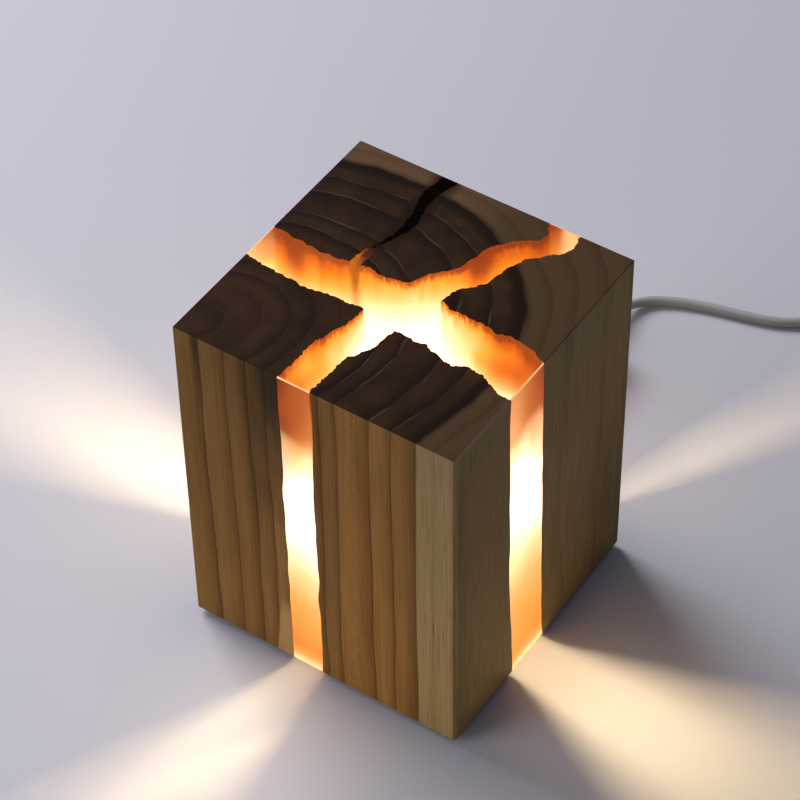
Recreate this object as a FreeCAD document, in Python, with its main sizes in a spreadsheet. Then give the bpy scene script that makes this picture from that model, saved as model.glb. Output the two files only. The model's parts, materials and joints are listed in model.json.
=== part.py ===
import FreeCAD, Part
import math
import os
import re

import Sketcher
from FreeCAD import Placement, Rotation, Vector

# Night light: a block of split wood in four quarters, cast together with clear resin, lit by an LED
# module in its underside. Millimetres. The origin is on the floor under the middle of the block, +Z is up,
# and the cord leaves the back face, towards +Y.

SIZES = {
    "block_width": 100,
    "block_depth": 99,
    "block_height": 129,
    "check_depth": 45,
    # pads under the block
    "foot_height": 2,
    "foot_radius": 6,
    "foot_inset": 12,
    # light well and the stepped recess in the underside
    "light_x": 2,
    "light_y": -5,
    "well_radius": 9,
    "well_height": 73,
    "recess_radius": 28,
    "recess_depth": 20,
    "cover_radius": 34,
    "cover_thick": 3,
    "cover_gap": 0.3,
    "screw_ring": 31,
    "screw_radius": 1.25,
    "screw_head_radius": 2.6,
    "screw_head_depth": 1.4,
    "screw_length": 14,
    "screw_gap": 0.15,
    # light module
    "cup_radius": 17,
    "cup_wall": 2.5,
    "cup_floor": 2,
    "wire_space": 6.4,
    "notch_width": 6,
    "board_gap": 0.2,
    "board_thick": 1.6,
    "diffuser_thick": 2,
    "led_size": 3,
    "led_height": 1,
    "led_ring": 5.5,
    "resistor_length": 2,
    "resistor_width": 1.3,
    "resistor_height": 0.6,
    "resistor_pitch": 3.2,
    "resistor_row": 10.5,
    "board_screw_row": 11,
    "board_screw_radius": 1,
    "board_head_radius": 1.9,
    "board_head_height": 1.2,
    "lead_radius": 0.6,
    "lead_pitch": 2,
    "lead_row": 10,
    "lead_gap": 0.15,
    "solder_radius": 0.95,
    "solder_tip": 0.5,
    "solder_height": 0.9,
    # cord and its bushing in the back face
    "cord_radius": 1.8,
    "cord_x": -5,
    "cord_gap": 0.3,
    "cord_straight": 5.5,
    "fit_gap": 0.05,
    "stop_radius": 3,
    "stop_length": 3,
    "jacket_lip": 1.2,
    "relief_neck_radius": 3.4,
    "relief_neck_length": 6,
    "relief_flange_radius": 5,
    "relief_flange_thick": 1.5,
    "relief_root_radius": 3.8,
    "relief_tip_radius": 2.6,
    "relief_taper_length": 10,
    # inline switch
    "switch_y": 82,
    "switch_length": 42,
    "switch_width": 18,
    "switch_height": 14,
    "switch_wall": 1.6,
    "switch_corner": 3,
    "switch_edge": 1.2,
    "nozzle_root_radius": 3.2,
    "nozzle_tip_radius": 2.5,
    "nozzle_length": 5,
    "nozzle_flange_radius": 4,
    "nozzle_flange_thick": 1.2,
    "nozzle_neck_radius": 2.8,
    "boss_radius": 2.2,
    "boss_x": 4.9,
    "boss_inset": 3.5,
    "case_screw_radius": 0.8,
    "case_head_radius": 1.4,
    "case_head_depth": 1,
    "case_screw_length": 9,
    "rocker_tilt": 8,
    "rocker_width": 8,
    "rocker_half": 7.2,
    "rocker_valley": 7.2,
    "rocker_crest": 8.6,
    "rocker_under": 3.2,
    "stem_half": 2,
    "stem_drop": 2.2,
    "window_side_gap": 0.4,
    "window_end_gap": 1.4,
    "pin_radius": 0.9,
    "pin_seat": 1,
    "pin_gap": 0.06,
    "bridge_thick": 0.6,
    "bridge_start": 3,
    "bridge_end": 6.8,
    "bridge_width": 7,
    "blade_thick": 0.6,
    "blade_width": 2,
    "blade_x": 2.4,
    "blade_y": 5.6,
    "foot_gap": 0.8,
    "contact_gap": 0.25,
    "return_x": 5.6,
    "return_drop": 2,
    "lead_land": 3,
    "lead_straight": 1.5,
    # put-away coil
    "coil_x": 84,
    "coil_y": 197,
    "coil_middle_radius": 20,
    "coil_gap": 0.55,
    "tie_thick": 0.5,
    "tie_width": 6,
    "tie_gap": 0.2,
    "tie_side_gap": 0.6,
    # plug
    "plug_y": 138.7,
    "plug_width": 15,
    "plug_height": 8,
    "plug_length": 24,
    "plug_corner": 2.2,
    "plug_relief_length": 10,
    "plug_relief_root": 3.4,
    "plug_relief_tip": 2.6,
    "plug_cord_depth": 8,
    "shell_width": 12,
    "shell_height": 4.5,
    "shell_wall": 0.3,
    "shell_reach": 11.75,
    "shell_insert": 7,
    "shell_window": 2,
    "shell_window_back": 5.2,
    "tongue_thick": 1.9,
    "tongue_back": 0.6,
    "contact_strip_width": 1,
    "contact_strip_thick": 0.2,
    "contact_strip_length": 7.4,
    "contact_strip_pitch": 2.3,
}

LED_COUNT = 6
LED_START_ANGLE = 30
RESISTOR_COUNT = 3
CONTACT_COUNT = 4
COIL_TURNS = 9.5
COIL_LAYERS = 4
COIL_EASE = 0.25
TIE_ANGLE = -70

# Edges of the cracks, seen from above, as shares of the half width and half depth in percent. Each edge
# runs from the inner tip of its quarter out to a face of the block.
FACE = 100
LEFT_TIP = (-14, -25)
FRONT_TIP = (12, -30)
RIGHT_TIP = (21, 6)
BACK_TIP = (-3, 8)
LEFT_ARM_NEAR = [(-26, -26), (-42, -27), (-55, -29), (-64, -28), (-83, -27), (-100, -24)]
LEFT_ARM_FAR = [(-17, 5), (-27, 6), (-35, 6), (-43, 4), (-55, 3), (-63, 1), (-75, 3), (-90, 4), (-100, 5)]
FRONT_ARM_LEFT = [(-14, -36), (-20, -55), (-23, -69), (-23, -82), (-24, -100)]
FRONT_ARM_RIGHT = [(9, -51), (1, -66), (0, -80), (-1, -91), (-1, -100)]
RIGHT_ARM_NEAR = [(35, -31), (53, -36), (56, -37), (64, -32), (75, -33), (91, -41), (100, -41)]
RIGHT_ARM_FAR = [(33, 3), (45, 3), (57, 3), (63, 1), (71, 4), (80, 3), (88, 1), (100, -4)]
BACK_ARM_LEFT = [
    (0, 16), (3, 23), (13, 32), (17, 48), (20, 60), (28, 71),
    (34, 77), (42, 83), (45, 91), (41, 96), (41, 100),
]
BACK_ARM_RIGHT = [
    (25, 21), (31, 26), (36, 34), (38, 44), (41, 56), (47, 67),
    (57, 77), (61, 79), (65, 88), (63, 94), (62, 100),
]
# A drying check branches off the left arm and runs to the back face. Its first and last points lie just
# outside the back quarter, so that it opens into the arm and through the face.
CHECK_LEFT = [(-43, -4), (-44, 12), (-38, 28), (-34, 40), (-35, 58), (-38, 69), (-40, 80), (-37, 104)]
CHECK_RIGHT = [(-36, -4), (-36, 10), (-35, 27), (-29, 42), (-27, 54), (-31, 70), (-30, 84), (-26, 104)]

# Route of the cord from the switch towards the coil, on the floor, and how the tail comes down from the
# coil towards the plug: how far along, and how far down.
LAMP_CORD_BEND = 5
BEND_SHARE = 0.45
RUN_POINTS = [
    (-4.2, 140, 5.6),
    (-1.9, 145.4, 3.4),
    (2, 150.6, 2.1),
    (7.6, 155, 1.8),
    (14.9, 158.2, 1.8),
    (23.5, 160.6, 1.8),
    (33.2, 162.7, 1.8),
    (42.6, 165.8, 1.8),
    (50.6, 171.4, 1.8),
    (56.2, 178.4, 1.9),
]
TAIL_DROPS = [(7, 1.5), (13.3, 4.6), (19.6, 7.9), (26.1, 10)]

doc = FreeCAD.newDocument("night_light")
sheet = doc.addObject("Spreadsheet::Sheet", "sizes")
for row, (name, value) in enumerate(SIZES.items(), 1):
    sheet.set(f"A{row}", name)
    sheet.set(f"B{row}", str(value))
    sheet.setAlias(f"B{row}", name)
doc.recompute()

ALIAS = re.compile(r"\b[a-z]+(?:_[a-z]+)+\b")
TO_Y = Rotation(Vector(1, 0, 0), -90)
TO_FRONT = Rotation(Vector(1, 0, 0), 90)
TO_X = Rotation(Vector(0, 1, 0), 90)
UPRIGHT = Rotation()

# Heights and places that several pieces share.
BLOCK_TOP = "(foot_height + block_height)"
CUP_BASE = "(foot_height + cover_thick)"
CUP_FLOOR = f"({CUP_BASE} + wire_space)"
BOARD_BASE = f"({CUP_FLOOR} + cup_floor)"
BOARD_TOP = f"({BOARD_BASE} + board_thick)"
RECESS_TOP = "(foot_height + recess_depth)"
CORD_Z = f"({CUP_BASE} + wire_space / 2)"
BACK_FACE = "(block_depth / 2)"
STOP_FACE = "(light_y + sqrt(recess_radius ^ 2 - (abs(cord_x - light_x) + stop_radius) ^ 2))"
JACKET_END = f"({STOP_FACE} - stop_length - jacket_lip)"
RELIEF_TIP = f"({BACK_FACE} + relief_flange_thick + relief_taper_length)"
LEAD_HOLE_Y = "(light_y + lead_row)"
SWITCH_MIDDLE = "(switch_y + switch_length / 2)"
SWITCH_AXIS = "(switch_height / 2)"
NEAR_NOZZLE_TIP = "(switch_y - nozzle_length)"
FAR_NOZZLE_TIP = "(switch_y + switch_length + nozzle_length)"
SWITCH_FLOOR = "(switch_wall - switch_height / 2)"
SWITCH_INNER_END = "(switch_length / 2 - switch_wall)"
BOSS_Y = f"({SWITCH_INNER_END} - boss_inset)"
BLADE_FOOT = f"({BOSS_Y} - boss_radius - foot_gap)"
COIL_PITCH = "(2 * cord_radius + coil_gap)"
COIL_SPAN = COIL_TURNS / COIL_LAYERS
COIL_OUTER = f"(coil_middle_radius + {COIL_PITCH} * {COIL_SPAN / 2})"
COIL_INNER = f"({COIL_OUTER} - {COIL_PITCH} * {COIL_SPAN - COIL_EASE / 2})"
COIL_BASE_Z = "(tie_thick + tie_gap + cord_radius)"
COIL_TOP_Z = f"({COIL_BASE_Z} + {COIL_LAYERS - 1} * {COIL_PITCH})"
PLUG_X = f"(coil_x + {COIL_OUTER})"
PLUG_AXIS = "(plug_height / 2)"
PLUG_RELIEF_TIP = "(plug_y + plug_relief_length)"
SHELL_MOUTH = "(plug_y - plug_length - shell_reach)"

nodes = []


def tied(rule):
    """A rule on the sizes, as an expression on the cells of the sheet."""
    return ALIAS.sub(r"sizes.\g<0>", str(rule))


def worth(rule):
    return float(sheet.evalExpression(tied(rule)))


def point(rules):
    return Vector(*[worth(rule) for rule in rules])


def bind(thing, **rules):
    """Ties properties to the sheet."""
    for name, rule in rules.items():
        thing.setExpression(name, tied(rule))
    return thing


def place(thing, at, turn=UPRIGHT):
    thing.Placement = Placement(Vector(), turn)
    for axis, rule in zip("xyz", at):
        thing.setExpression(f"Placement.Base.{axis}", tied(rule))
    return thing


def node(thing, label):
    """Marks an object as a sub-part of the lamp, under its own label."""
    thing.Label = label
    nodes.append(thing)
    return thing


def box(name, size, at, turn=UPRIGHT):
    thing = doc.addObject("Part::Box", name)
    bind(thing, Length=size[0], Width=size[1], Height=size[2])
    return place(thing, at, turn)


def cylinder(name, radius, height, at, turn=UPRIGHT):
    thing = doc.addObject("Part::Cylinder", name)
    bind(thing, Radius=radius, Height=height)
    return place(thing, at, turn)


def cone(name, start, end, height, at, turn=UPRIGHT):
    thing = doc.addObject("Part::Cone", name)
    bind(thing, Radius1=start, Radius2=end, Height=height)
    return place(thing, at, turn)


def fused(name, shapes):
    thing = doc.addObject("Part::MultiFuse", name)
    thing.Shapes = shapes
    return thing


def group(name, shapes):
    thing = doc.addObject("Part::Compound", name)
    thing.Links = shapes
    return thing


def cut(name, base, *tools):
    thing = doc.addObject("Part::Cut", name)
    thing.Base = base
    thing.Tool = tools[0] if len(tools) == 1 else fused(f"{name}_tools", list(tools))
    return thing


def attached_sketch(owner, name, plane):
    sketch = owner.newObject("Sketcher::SketchObject", name)
    origin = next(f for f in owner.Origin.OriginFeatures if f.Role == plane)
    sketch.AttachmentSupport = [(origin, "")]
    sketch.MapMode = "FlatFace"
    return sketch


def fix_point(sketch, line, end, x, y):
    """Ties one point of a sketch to the sheet, by its two coordinates."""
    for kind, rule in (("DistanceX", x), ("DistanceY", y)):
        index = sketch.addConstraint(Sketcher.Constraint(kind, line, end, worth(rule)))
        sketch.setExpression(f"Constraints[{index}]", tied(rule))


def draw_outline(sketch, corners):
    """A closed outline of straight lines through corners that are rules on the sizes."""
    ends = [point((x, y, 0)) for x, y in corners]
    first = sketch.GeometryCount
    count = len(ends)
    for index, start in enumerate(ends):
        sketch.addGeometry(Part.LineSegment(start, ends[(index + 1) % count]))
    for index in range(count):
        sketch.addConstraint(
            Sketcher.Constraint("Coincident", first + index, 2, first + (index + 1) % count, 1)
        )
    for index, (x, y) in enumerate(corners):
        fix_point(sketch, first + index, 1, x, y)


def draw_circle(sketch, x, y, radius):
    index = sketch.addGeometry(Part.Circle(point((x, y, 0)), Vector(0, 0, 1), worth(radius)))
    fix_point(sketch, index, 3, x, y)
    size = sketch.addConstraint(Sketcher.Constraint("Radius", index, worth(radius)))
    sketch.setExpression(f"Constraints[{size}]", tied(radius))


def rectangle(half_x, half_y):
    return [(f"-{half_x}", f"-{half_y}"), (half_x, f"-{half_y}"), (half_x, half_y), (f"-{half_x}", half_y)]


def new_body(name, at, turn=UPRIGHT):
    return place(doc.addObject("PartDesign::Body", name), at, turn)


def pad(owner, plane, corners, length, middle=False, downward=False):
    sketch = attached_sketch(owner, f"{owner.Name}_outline", plane)
    draw_outline(sketch, corners)
    feature = owner.newObject("PartDesign::Pad", f"{owner.Name}_pad")
    feature.Profile = sketch
    feature.Midplane = middle
    feature.Reversed = downward
    return bind(feature, Length=length)


def prism(name, plane, corners, length, at, turn=UPRIGHT, middle=False):
    owner = new_body(name, at, turn)
    pad(owner, plane, corners, length, middle)
    return owner


def turned(name, corners, at, turn=UPRIGHT):
    """A piece turned about its own Z axis, from corners given as radius and height."""
    owner = new_body(name, at, turn)
    sketch = attached_sketch(owner, f"{name}_section", "XZ_Plane")
    draw_outline(sketch, corners)
    feature = owner.newObject("PartDesign::Revolution", f"{name}_turn")
    feature.Profile = sketch
    feature.ReferenceAxis = (sketch, ["V_Axis"])
    feature.Angle = 360
    return owner


def round_edges(owner, base, radius, wanted):
    """Rounds the edges of a feature that the test picks."""
    doc.recompute()
    names = [f"Edge{index}" for index, edge in enumerate(base.Shape.Edges, 1) if wanted(edge)]
    feature = owner.newObject("PartDesign::Fillet", f"{base.Name}_round")
    feature.Base = (base, names)
    return bind(feature, Radius=radius)


def runs_along(edge, axis):
    start, end = edge.firstVertex().Point, edge.lastVertex().Point
    return abs((end - start).normalize().dot(axis)) > 0.999


def rounded_path(points):
    """Straight runs joined by tangent arcs, each as large as its two runs allow, and the radii."""
    edges = []
    radii = []
    start = points[0]
    for before, corner, after in zip(points, points[1:], points[2:]):
        way_in = (corner - before).normalize()
        way_out = (after - corner).normalize()
        half_turn = way_in.getAngle(way_out) / 2
        setback = BEND_SHARE * min((corner - before).Length, (after - corner).Length)
        radius = setback / math.tan(half_turn)
        radii.append(radius)
        arc_start = corner - way_in * setback
        arc_end = corner + way_out * setback
        inward = (way_out - way_in).normalize()
        middle = corner + inward * (radius / math.cos(half_turn) - radius)
        edges.append(Part.LineSegment(start, arc_start).toShape())
        edges.append(Part.Arc(arc_start, middle, arc_end).toShape())
        start = arc_end
    edges.append(Part.LineSegment(start, points[-1]).toShape())
    return Part.Wire(edges), radii


def swept(path, radius, start, way):
    ring = Part.Wire([Part.Circle(start, way, radius).toShape()])
    return path.makePipeShell([ring], True, False)


def tube(name, points, radius):
    """A round tube along a route. Prints its length, bend radii, and volume over section times length."""
    path, radii = rounded_path(points)
    solid = swept(path, radius, points[0], points[1] - points[0])
    share = solid.Volume / (math.pi * radius**2 * path.Length)
    bends = [round(bend) for bend in radii]
    print(name, "length", round(path.Length, 1), "volume share", round(share, 4), "radii", bends)
    thing = doc.addObject("Part::Feature", name)
    thing.Shape = solid
    return thing


def biarc(start, way_in, end, way_out):
    """Two arcs that leave one point along a direction and reach another along a second one."""
    chord = end - start
    ways = way_in + way_out
    bend = 2 * (1 - way_in.dot(way_out))
    reach = (-chord.dot(ways) + math.sqrt(chord.dot(ways) ** 2 + bend * chord.dot(chord))) / bend
    first_corner = start + way_in * reach
    last_corner = end - way_out * reach
    joint = (first_corner + last_corner) / 2
    arcs = []
    for near, corner, far in ((start, first_corner, joint), (joint, last_corner, end)):
        middle = (near + far) / 2
        cosine = (far - near).Length / 2 / reach
        arcs.append(Part.Arc(near, middle + (corner - middle) * (cosine / (1 + cosine)), far).toShape())
    return arcs


def crack_corner(x_share, y_share):
    return f"{x_share / FACE} * block_width / 2", f"{y_share / FACE} * block_depth / 2"


def block_of_wood():
    """Four quarters between the cracks, and the resin that fills the cracks."""
    outlines = {
        "wood_quarter_front": [(FACE, -FACE), *reversed(RIGHT_ARM_NEAR), FRONT_TIP, *FRONT_ARM_RIGHT],
        "wood_quarter_left": [(-FACE, -FACE), *reversed(FRONT_ARM_LEFT), LEFT_TIP, *LEFT_ARM_NEAR],
        "wood_quarter_back": [(-FACE, FACE), *reversed(LEFT_ARM_FAR), BACK_TIP, *BACK_ARM_LEFT],
        "wood_quarter_right": [(FACE, FACE), *reversed(BACK_ARM_RIGHT), RIGHT_TIP, *RIGHT_ARM_FAR],
    }
    base = ("0", "0", "foot_height")
    blanks = {}
    for label, outline in outlines.items():
        corners = [crack_corner(*share) for share in outline]
        blanks[label] = prism(f"{label}_blank", "XY_Plane", corners, "block_height", base)
    check_corners = [crack_corner(*share) for share in CHECK_LEFT + CHECK_RIGHT[::-1]]
    check = prism("check", "XY_Plane", check_corners, "check_depth", ("0", "0", f"{BLOCK_TOP} - check_depth"))
    blanks["wood_quarter_back"] = cut("checked_quarter", blanks["wood_quarter_back"], check)

    underside = underside_tool()
    for label, blank in blanks.items():
        node(cut(label, blank, underside), label)
    block = box(
        "block",
        ("block_width", "block_depth", "block_height"),
        ("-block_width / 2", "-block_depth / 2", "foot_height"),
    )
    cast = cut("cast", block, *blanks.values())
    node(cut("resin_cross", cast, underside), "resin_cross")


def screw_places():
    """One cover screw in each quarter, on the diagonals of the light well."""
    half = "screw_ring * sqrt(2) / 2"
    return [(f"light_x + {i} * {half}", f"light_y + {j} * {half}") for i in (-1, 1) for j in (-1, 1)]


def underside_tool():
    """What is cut from the underside: light well, recess, ledge, screw holes and cord channel."""
    axis = ("light_x", "light_y", "foot_height")
    tools = [
        cylinder("well", "well_radius", "well_height", axis),
        cylinder("recess", "recess_radius", "recess_depth", axis),
        cylinder("ledge", "cover_radius", "cover_thick", axis),
        cylinder(
            "channel",
            "cord_radius + cord_gap",
            f"{BACK_FACE} - light_y",
            ("cord_x", "light_y", CORD_Z),
            TO_Y,
        ),
        cylinder(
            "bushing_seat",
            "relief_neck_radius + fit_gap",
            "relief_neck_length",
            ("cord_x", f"{BACK_FACE} - relief_neck_length", CORD_Z),
            TO_Y,
        ),
    ]
    for index, (x, y) in enumerate(screw_places()):
        tools.append(cylinder(f"pilot_{index}", "screw_radius", "screw_length", (x, y, "foot_height")))
    return fused("underside", tools)


def countersunk(name, at, head_radius, radius, head_depth, length, swell="0"):
    """A countersunk screw that points up, or its hole when it is swollen by a gap."""
    head = cone(f"{name}_head", f"{head_radius} + {swell}", f"{radius} + {swell}", head_depth, at)
    shank = cylinder(f"{name}_shank", f"{radius} + {swell}", length, at)
    return fused(name, [head, shank])


def cover_and_feet():
    disc = cylinder(
        "cover_disc", "cover_radius - cover_gap", "cover_thick", ("light_x", "light_y", "foot_height")
    )
    form = ("screw_head_radius", "screw_radius", "screw_head_depth", "screw_length")
    screws = []
    holes = []
    for index, (x, y) in enumerate(screw_places()):
        at = (x, y, "foot_height")
        screws.append(countersunk(f"cover_screw_{index}", at, *form))
        holes.append(countersunk(f"cover_hole_{index}", at, *form, "screw_gap"))
    node(cut("base_cover", disc, *holes), "base_cover")
    node(group("cover_screws", screws), "cover_screws")

    pads = []
    for i in (-1, 1):
        for j in (-1, 1):
            x = f"{i} * (block_width / 2 - foot_inset)"
            y = f"{j} * (block_depth / 2 - foot_inset)"
            pads.append(cylinder(f"pad_{len(pads)}", "foot_radius", "foot_height", (x, y, "0")))
    node(group("foot_pads", pads), "foot_pads")


def lead_places():
    return [f"cord_x + {side} * lead_pitch / 2" for side in (-1, 1)]


def light_module():
    """Cup on the cover, board in the cup, frosted disc between the cup and the top of the recess."""
    axis = ("light_x", "light_y")
    inner = "cup_radius - cup_wall"
    cup_height = "recess_depth - cover_thick - diffuser_thick"
    stack = "cup_floor + board_thick"
    lead_holes = []
    screw_holes = []
    for index, x in enumerate(lead_places()):
        at = (x, LEAD_HOLE_Y, CUP_FLOOR)
        lead_holes.append(cylinder(f"lead_hole_{index}", "lead_radius + lead_gap", stack, at))
    for index, side in enumerate((-1, 1)):
        at = (f"light_x + {side} * board_screw_row", "light_y", CUP_FLOOR)
        screw_holes.append(cylinder(f"board_hole_{index}", "board_screw_radius", stack, at))
    cup = cylinder("cup_blank", "cup_radius", cup_height, (*axis, CUP_BASE))
    wire_room = cylinder("wire_room", inner, "wire_space", (*axis, CUP_BASE))
    board_room = cylinder("board_room", inner, "recess_depth", (*axis, BOARD_BASE))
    notch_at = ("cord_x - notch_width / 2", "light_y", CUP_BASE)
    notch = box("notch", ("notch_width", "cup_radius", "wire_space"), notch_at)
    node(cut("led_cup", cup, wire_room, board_room, notch, *lead_holes, *screw_holes), "led_cup")

    board = cylinder("board_blank", f"{inner} - board_gap", "board_thick", (*axis, BOARD_BASE))
    node(cut("led_board", board, *lead_holes, *screw_holes), "led_board")

    chips = []
    for index in range(LED_COUNT):
        angle = 360 * index / LED_COUNT + LED_START_ANGLE
        x = f"light_x + led_ring * cos({angle} deg) - led_size / 2"
        y = f"light_y + led_ring * sin({angle} deg) - led_size / 2"
        chips.append(box(f"chip_{index}", ("led_size", "led_size", "led_height"), (x, y, BOARD_TOP)))
    node(group("led_chips", chips), "led_chips")

    resistors = []
    for index in range(RESISTOR_COUNT):
        x = f"light_x + {index - (RESISTOR_COUNT - 1) / 2} * resistor_pitch - resistor_length / 2"
        y = "light_y - resistor_row - resistor_width / 2"
        size = ("resistor_length", "resistor_width", "resistor_height")
        resistors.append(box(f"resistor_{index}", size, (x, y, BOARD_TOP)))
    node(group("board_resistors", resistors), "board_resistors")

    screws = []
    for index, side in enumerate((-1, 1)):
        x = f"light_x + {side} * board_screw_row"
        head_at = (x, "light_y", BOARD_TOP)
        head = cylinder(f"board_head_{index}", "board_head_radius", "board_head_height", head_at)
        shank = cylinder(f"board_shank_{index}", "board_screw_radius", stack, (x, "light_y", CUP_FLOOR))
        screws.append(fused(f"board_screw_{index}", [head, shank]))
    node(group("board_screws", screws), "board_screws")

    joints = []
    for index, (x, label) in enumerate(zip(lead_places(), ("lead_negative", "lead_positive"))):
        joint_at = (x, LEAD_HOLE_Y, BOARD_TOP)
        joints.append(cone(f"solder_{index}", "solder_radius", "solder_tip", "solder_height", joint_at))
        corners = [(x, JACKET_END, CORD_Z), (x, LEAD_HOLE_Y, CORD_Z), (x, LEAD_HOLE_Y, BOARD_TOP)]
        node(tube(label, [point(corner) for corner in corners], worth("lead_radius")), label)
    node(group("solder_joints", joints), "solder_joints")

    disc_at = (*axis, f"{RECESS_TOP} - diffuser_thick")
    node(cylinder("diffuser_disc", "cup_radius", "diffuser_thick", disc_at), "diffuser_disc")


def cord_entry():
    """Bushing in the back face, the cord through it, and the stop tie inside the recess."""
    bore = "cord_radius + fit_gap"
    flange = "relief_neck_length + relief_flange_thick"
    corners = [
        (bore, "0"),
        ("relief_neck_radius", "0"),
        ("relief_neck_radius", "relief_neck_length"),
        ("relief_flange_radius", "relief_neck_length"),
        ("relief_flange_radius", flange),
        ("relief_root_radius", flange),
        ("relief_tip_radius", f"{flange} + relief_taper_length"),
        (bore, f"{flange} + relief_taper_length"),
    ]
    at = ("cord_x", f"{BACK_FACE} - relief_neck_length", CORD_Z)
    node(turned("cord_relief", corners, at, TO_Y), "cord_relief")

    stop_at = ("cord_x", f"{STOP_FACE} - stop_length", CORD_Z)
    stop = cylinder("stop_blank", "stop_radius", "stop_length", stop_at, TO_Y)
    hole = cylinder("stop_hole", bore, "stop_length", stop_at, TO_Y)
    node(cut("pull_stop", stop, hole), "pull_stop")
    inlet_at = ("cord_x", JACKET_END, CORD_Z)
    inlet_length = f"{RELIEF_TIP} - {JACKET_END}"
    node(cylinder("cord_inlet", "cord_radius", inlet_length, inlet_at, TO_Y), "cord_inlet")


def inline_switch():
    """Two half shells around a rocker that bridges two contact blades. The rocker rests at on."""
    middle = ("cord_x", SWITCH_MIDDLE, SWITCH_AXIS)
    half_width = "switch_width / 2"
    half_length = "switch_length / 2"
    depth = "(switch_height / 2 - switch_wall)"
    nozzle_holes = []
    for index, y in enumerate(("switch_y", "switch_y + switch_length - switch_wall")):
        nozzle_holes.append(
            cylinder(
                f"nozzle_hole_{index}", "nozzle_neck_radius + fit_gap", "switch_wall",
                ("cord_x", y, SWITCH_AXIS), TO_Y,
            )
        )
    pin_length = "switch_width - 2 * (switch_wall - pin_seat)"
    pin_at = (f"cord_x - ({pin_length}) / 2", SWITCH_MIDDLE, SWITCH_AXIS)
    pin = cylinder("rocker_pin", "pin_radius", pin_length, pin_at, TO_X)
    node(pin, "rocker_pin")

    form = ("case_head_radius", "case_screw_radius", "case_head_depth", "case_screw_length")
    case_screws = []
    case_holes = []
    for index, side in enumerate((-1, 1)):
        at = ("cord_x + boss_x", f"{SWITCH_MIDDLE} + {side} * {BOSS_Y}", "0")
        case_screws.append(countersunk(f"case_screw_{index}", at, *form))
        case_holes.append(countersunk(f"case_hole_{index}", at, *form, "fit_gap"))
    node(group("switch_screws", case_screws), "switch_screws")

    window = box(
        "window",
        ("rocker_width + 2 * window_side_gap", "2 * (rocker_half + window_end_gap)", "switch_height"),
        (
            "cord_x - rocker_width / 2 - window_side_gap",
            f"{SWITCH_MIDDLE} - rocker_half - window_end_gap",
            SWITCH_AXIS,
        ),
    )
    for label, downward in (("switch_base", True), ("switch_cover", False)):
        shell = new_body(f"{label}_shell", middle)
        plan = rectangle(half_width, half_length)
        blank = pad(shell, "XY_Plane", plan, "switch_height / 2", downward=downward)
        far = -1 if downward else 1
        corners = round_edges(shell, blank, "switch_corner", lambda edge: runs_along(edge, Vector(0, 0, 1)))
        doc.recompute()
        rim = far * worth("switch_height / 2")
        round_edges(
            shell, corners, "switch_edge",
            lambda edge: all(abs(vertex.Z - rim) < 1e-6 for vertex in edge.Vertexes),
        )
        hollow_plan = attached_sketch(shell, f"{label}_hollow_plan", "XY_Plane")
        draw_outline(hollow_plan, rectangle("(switch_width / 2 - switch_wall)", SWITCH_INNER_END))
        for side in (-1, 1):
            draw_circle(hollow_plan, "boss_x", f"{side} * {BOSS_Y}", "boss_radius")
        hollow = shell.newObject("PartDesign::Pocket", f"{label}_hollow")
        hollow.Profile = hollow_plan
        hollow.Reversed = not downward
        bind(hollow, Length=depth)
        tools = [*nozzle_holes, pin, *case_holes]
        if not downward:
            tools.append(window)
        node(cut(label, shell, *tools), label)

    nozzles = []
    bore = "cord_radius + fit_gap"
    neck_end = "nozzle_flange_thick + switch_wall"
    section = [
        (bore, "0"),
        ("nozzle_flange_radius", "0"),
        ("nozzle_flange_radius", "nozzle_flange_thick"),
        ("nozzle_neck_radius", "nozzle_flange_thick"),
        ("nozzle_neck_radius", neck_end),
        ("nozzle_root_radius", neck_end),
        ("nozzle_tip_radius", f"{neck_end} + nozzle_length"),
        (bore, f"{neck_end} + nozzle_length"),
    ]
    for index, (side, turn) in enumerate(((-1, TO_FRONT), (1, TO_Y))):
        y = f"{SWITCH_MIDDLE} + {side} * ({SWITCH_INNER_END} - nozzle_flange_thick)"
        nozzles.append(turned(f"nozzle_{index}", section, ("cord_x", y, SWITCH_AXIS), turn))
    node(group("switch_reliefs", nozzles), "switch_reliefs")

    tilt = Rotation(Vector(1, 0, 0), -worth("rocker_tilt"))
    rocker_corners = [
        ("-rocker_half", "rocker_crest"),
        ("-rocker_half", "rocker_under"),
        ("-stem_half", "rocker_under"),
        ("-stem_half", "-stem_drop"),
        ("stem_half", "-stem_drop"),
        ("stem_half", "rocker_under"),
        ("rocker_half", "rocker_under"),
        ("rocker_half", "rocker_crest"),
        ("0", "rocker_valley"),
    ]
    key = prism("rocker_key", "YZ_Plane", rocker_corners, "rocker_width", middle, tilt, middle=True)
    pin_bore = cylinder(
        "pin_bore", "pin_radius + pin_gap", "switch_width", ("cord_x - switch_width / 2", *middle[1:]), TO_X
    )
    node(cut("switch_rocker", key, pin_bore), "switch_rocker")
    bridge_corners = [
        ("bridge_start", "rocker_under - bridge_thick"),
        ("bridge_end", "rocker_under - bridge_thick"),
        ("bridge_end", "rocker_under"),
        ("bridge_start", "rocker_under"),
    ]
    bridge = prism("rocker_bridge", "YZ_Plane", bridge_corners, "bridge_width", middle, tilt, middle=True)
    node(bridge, "rocker_bridge")

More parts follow.
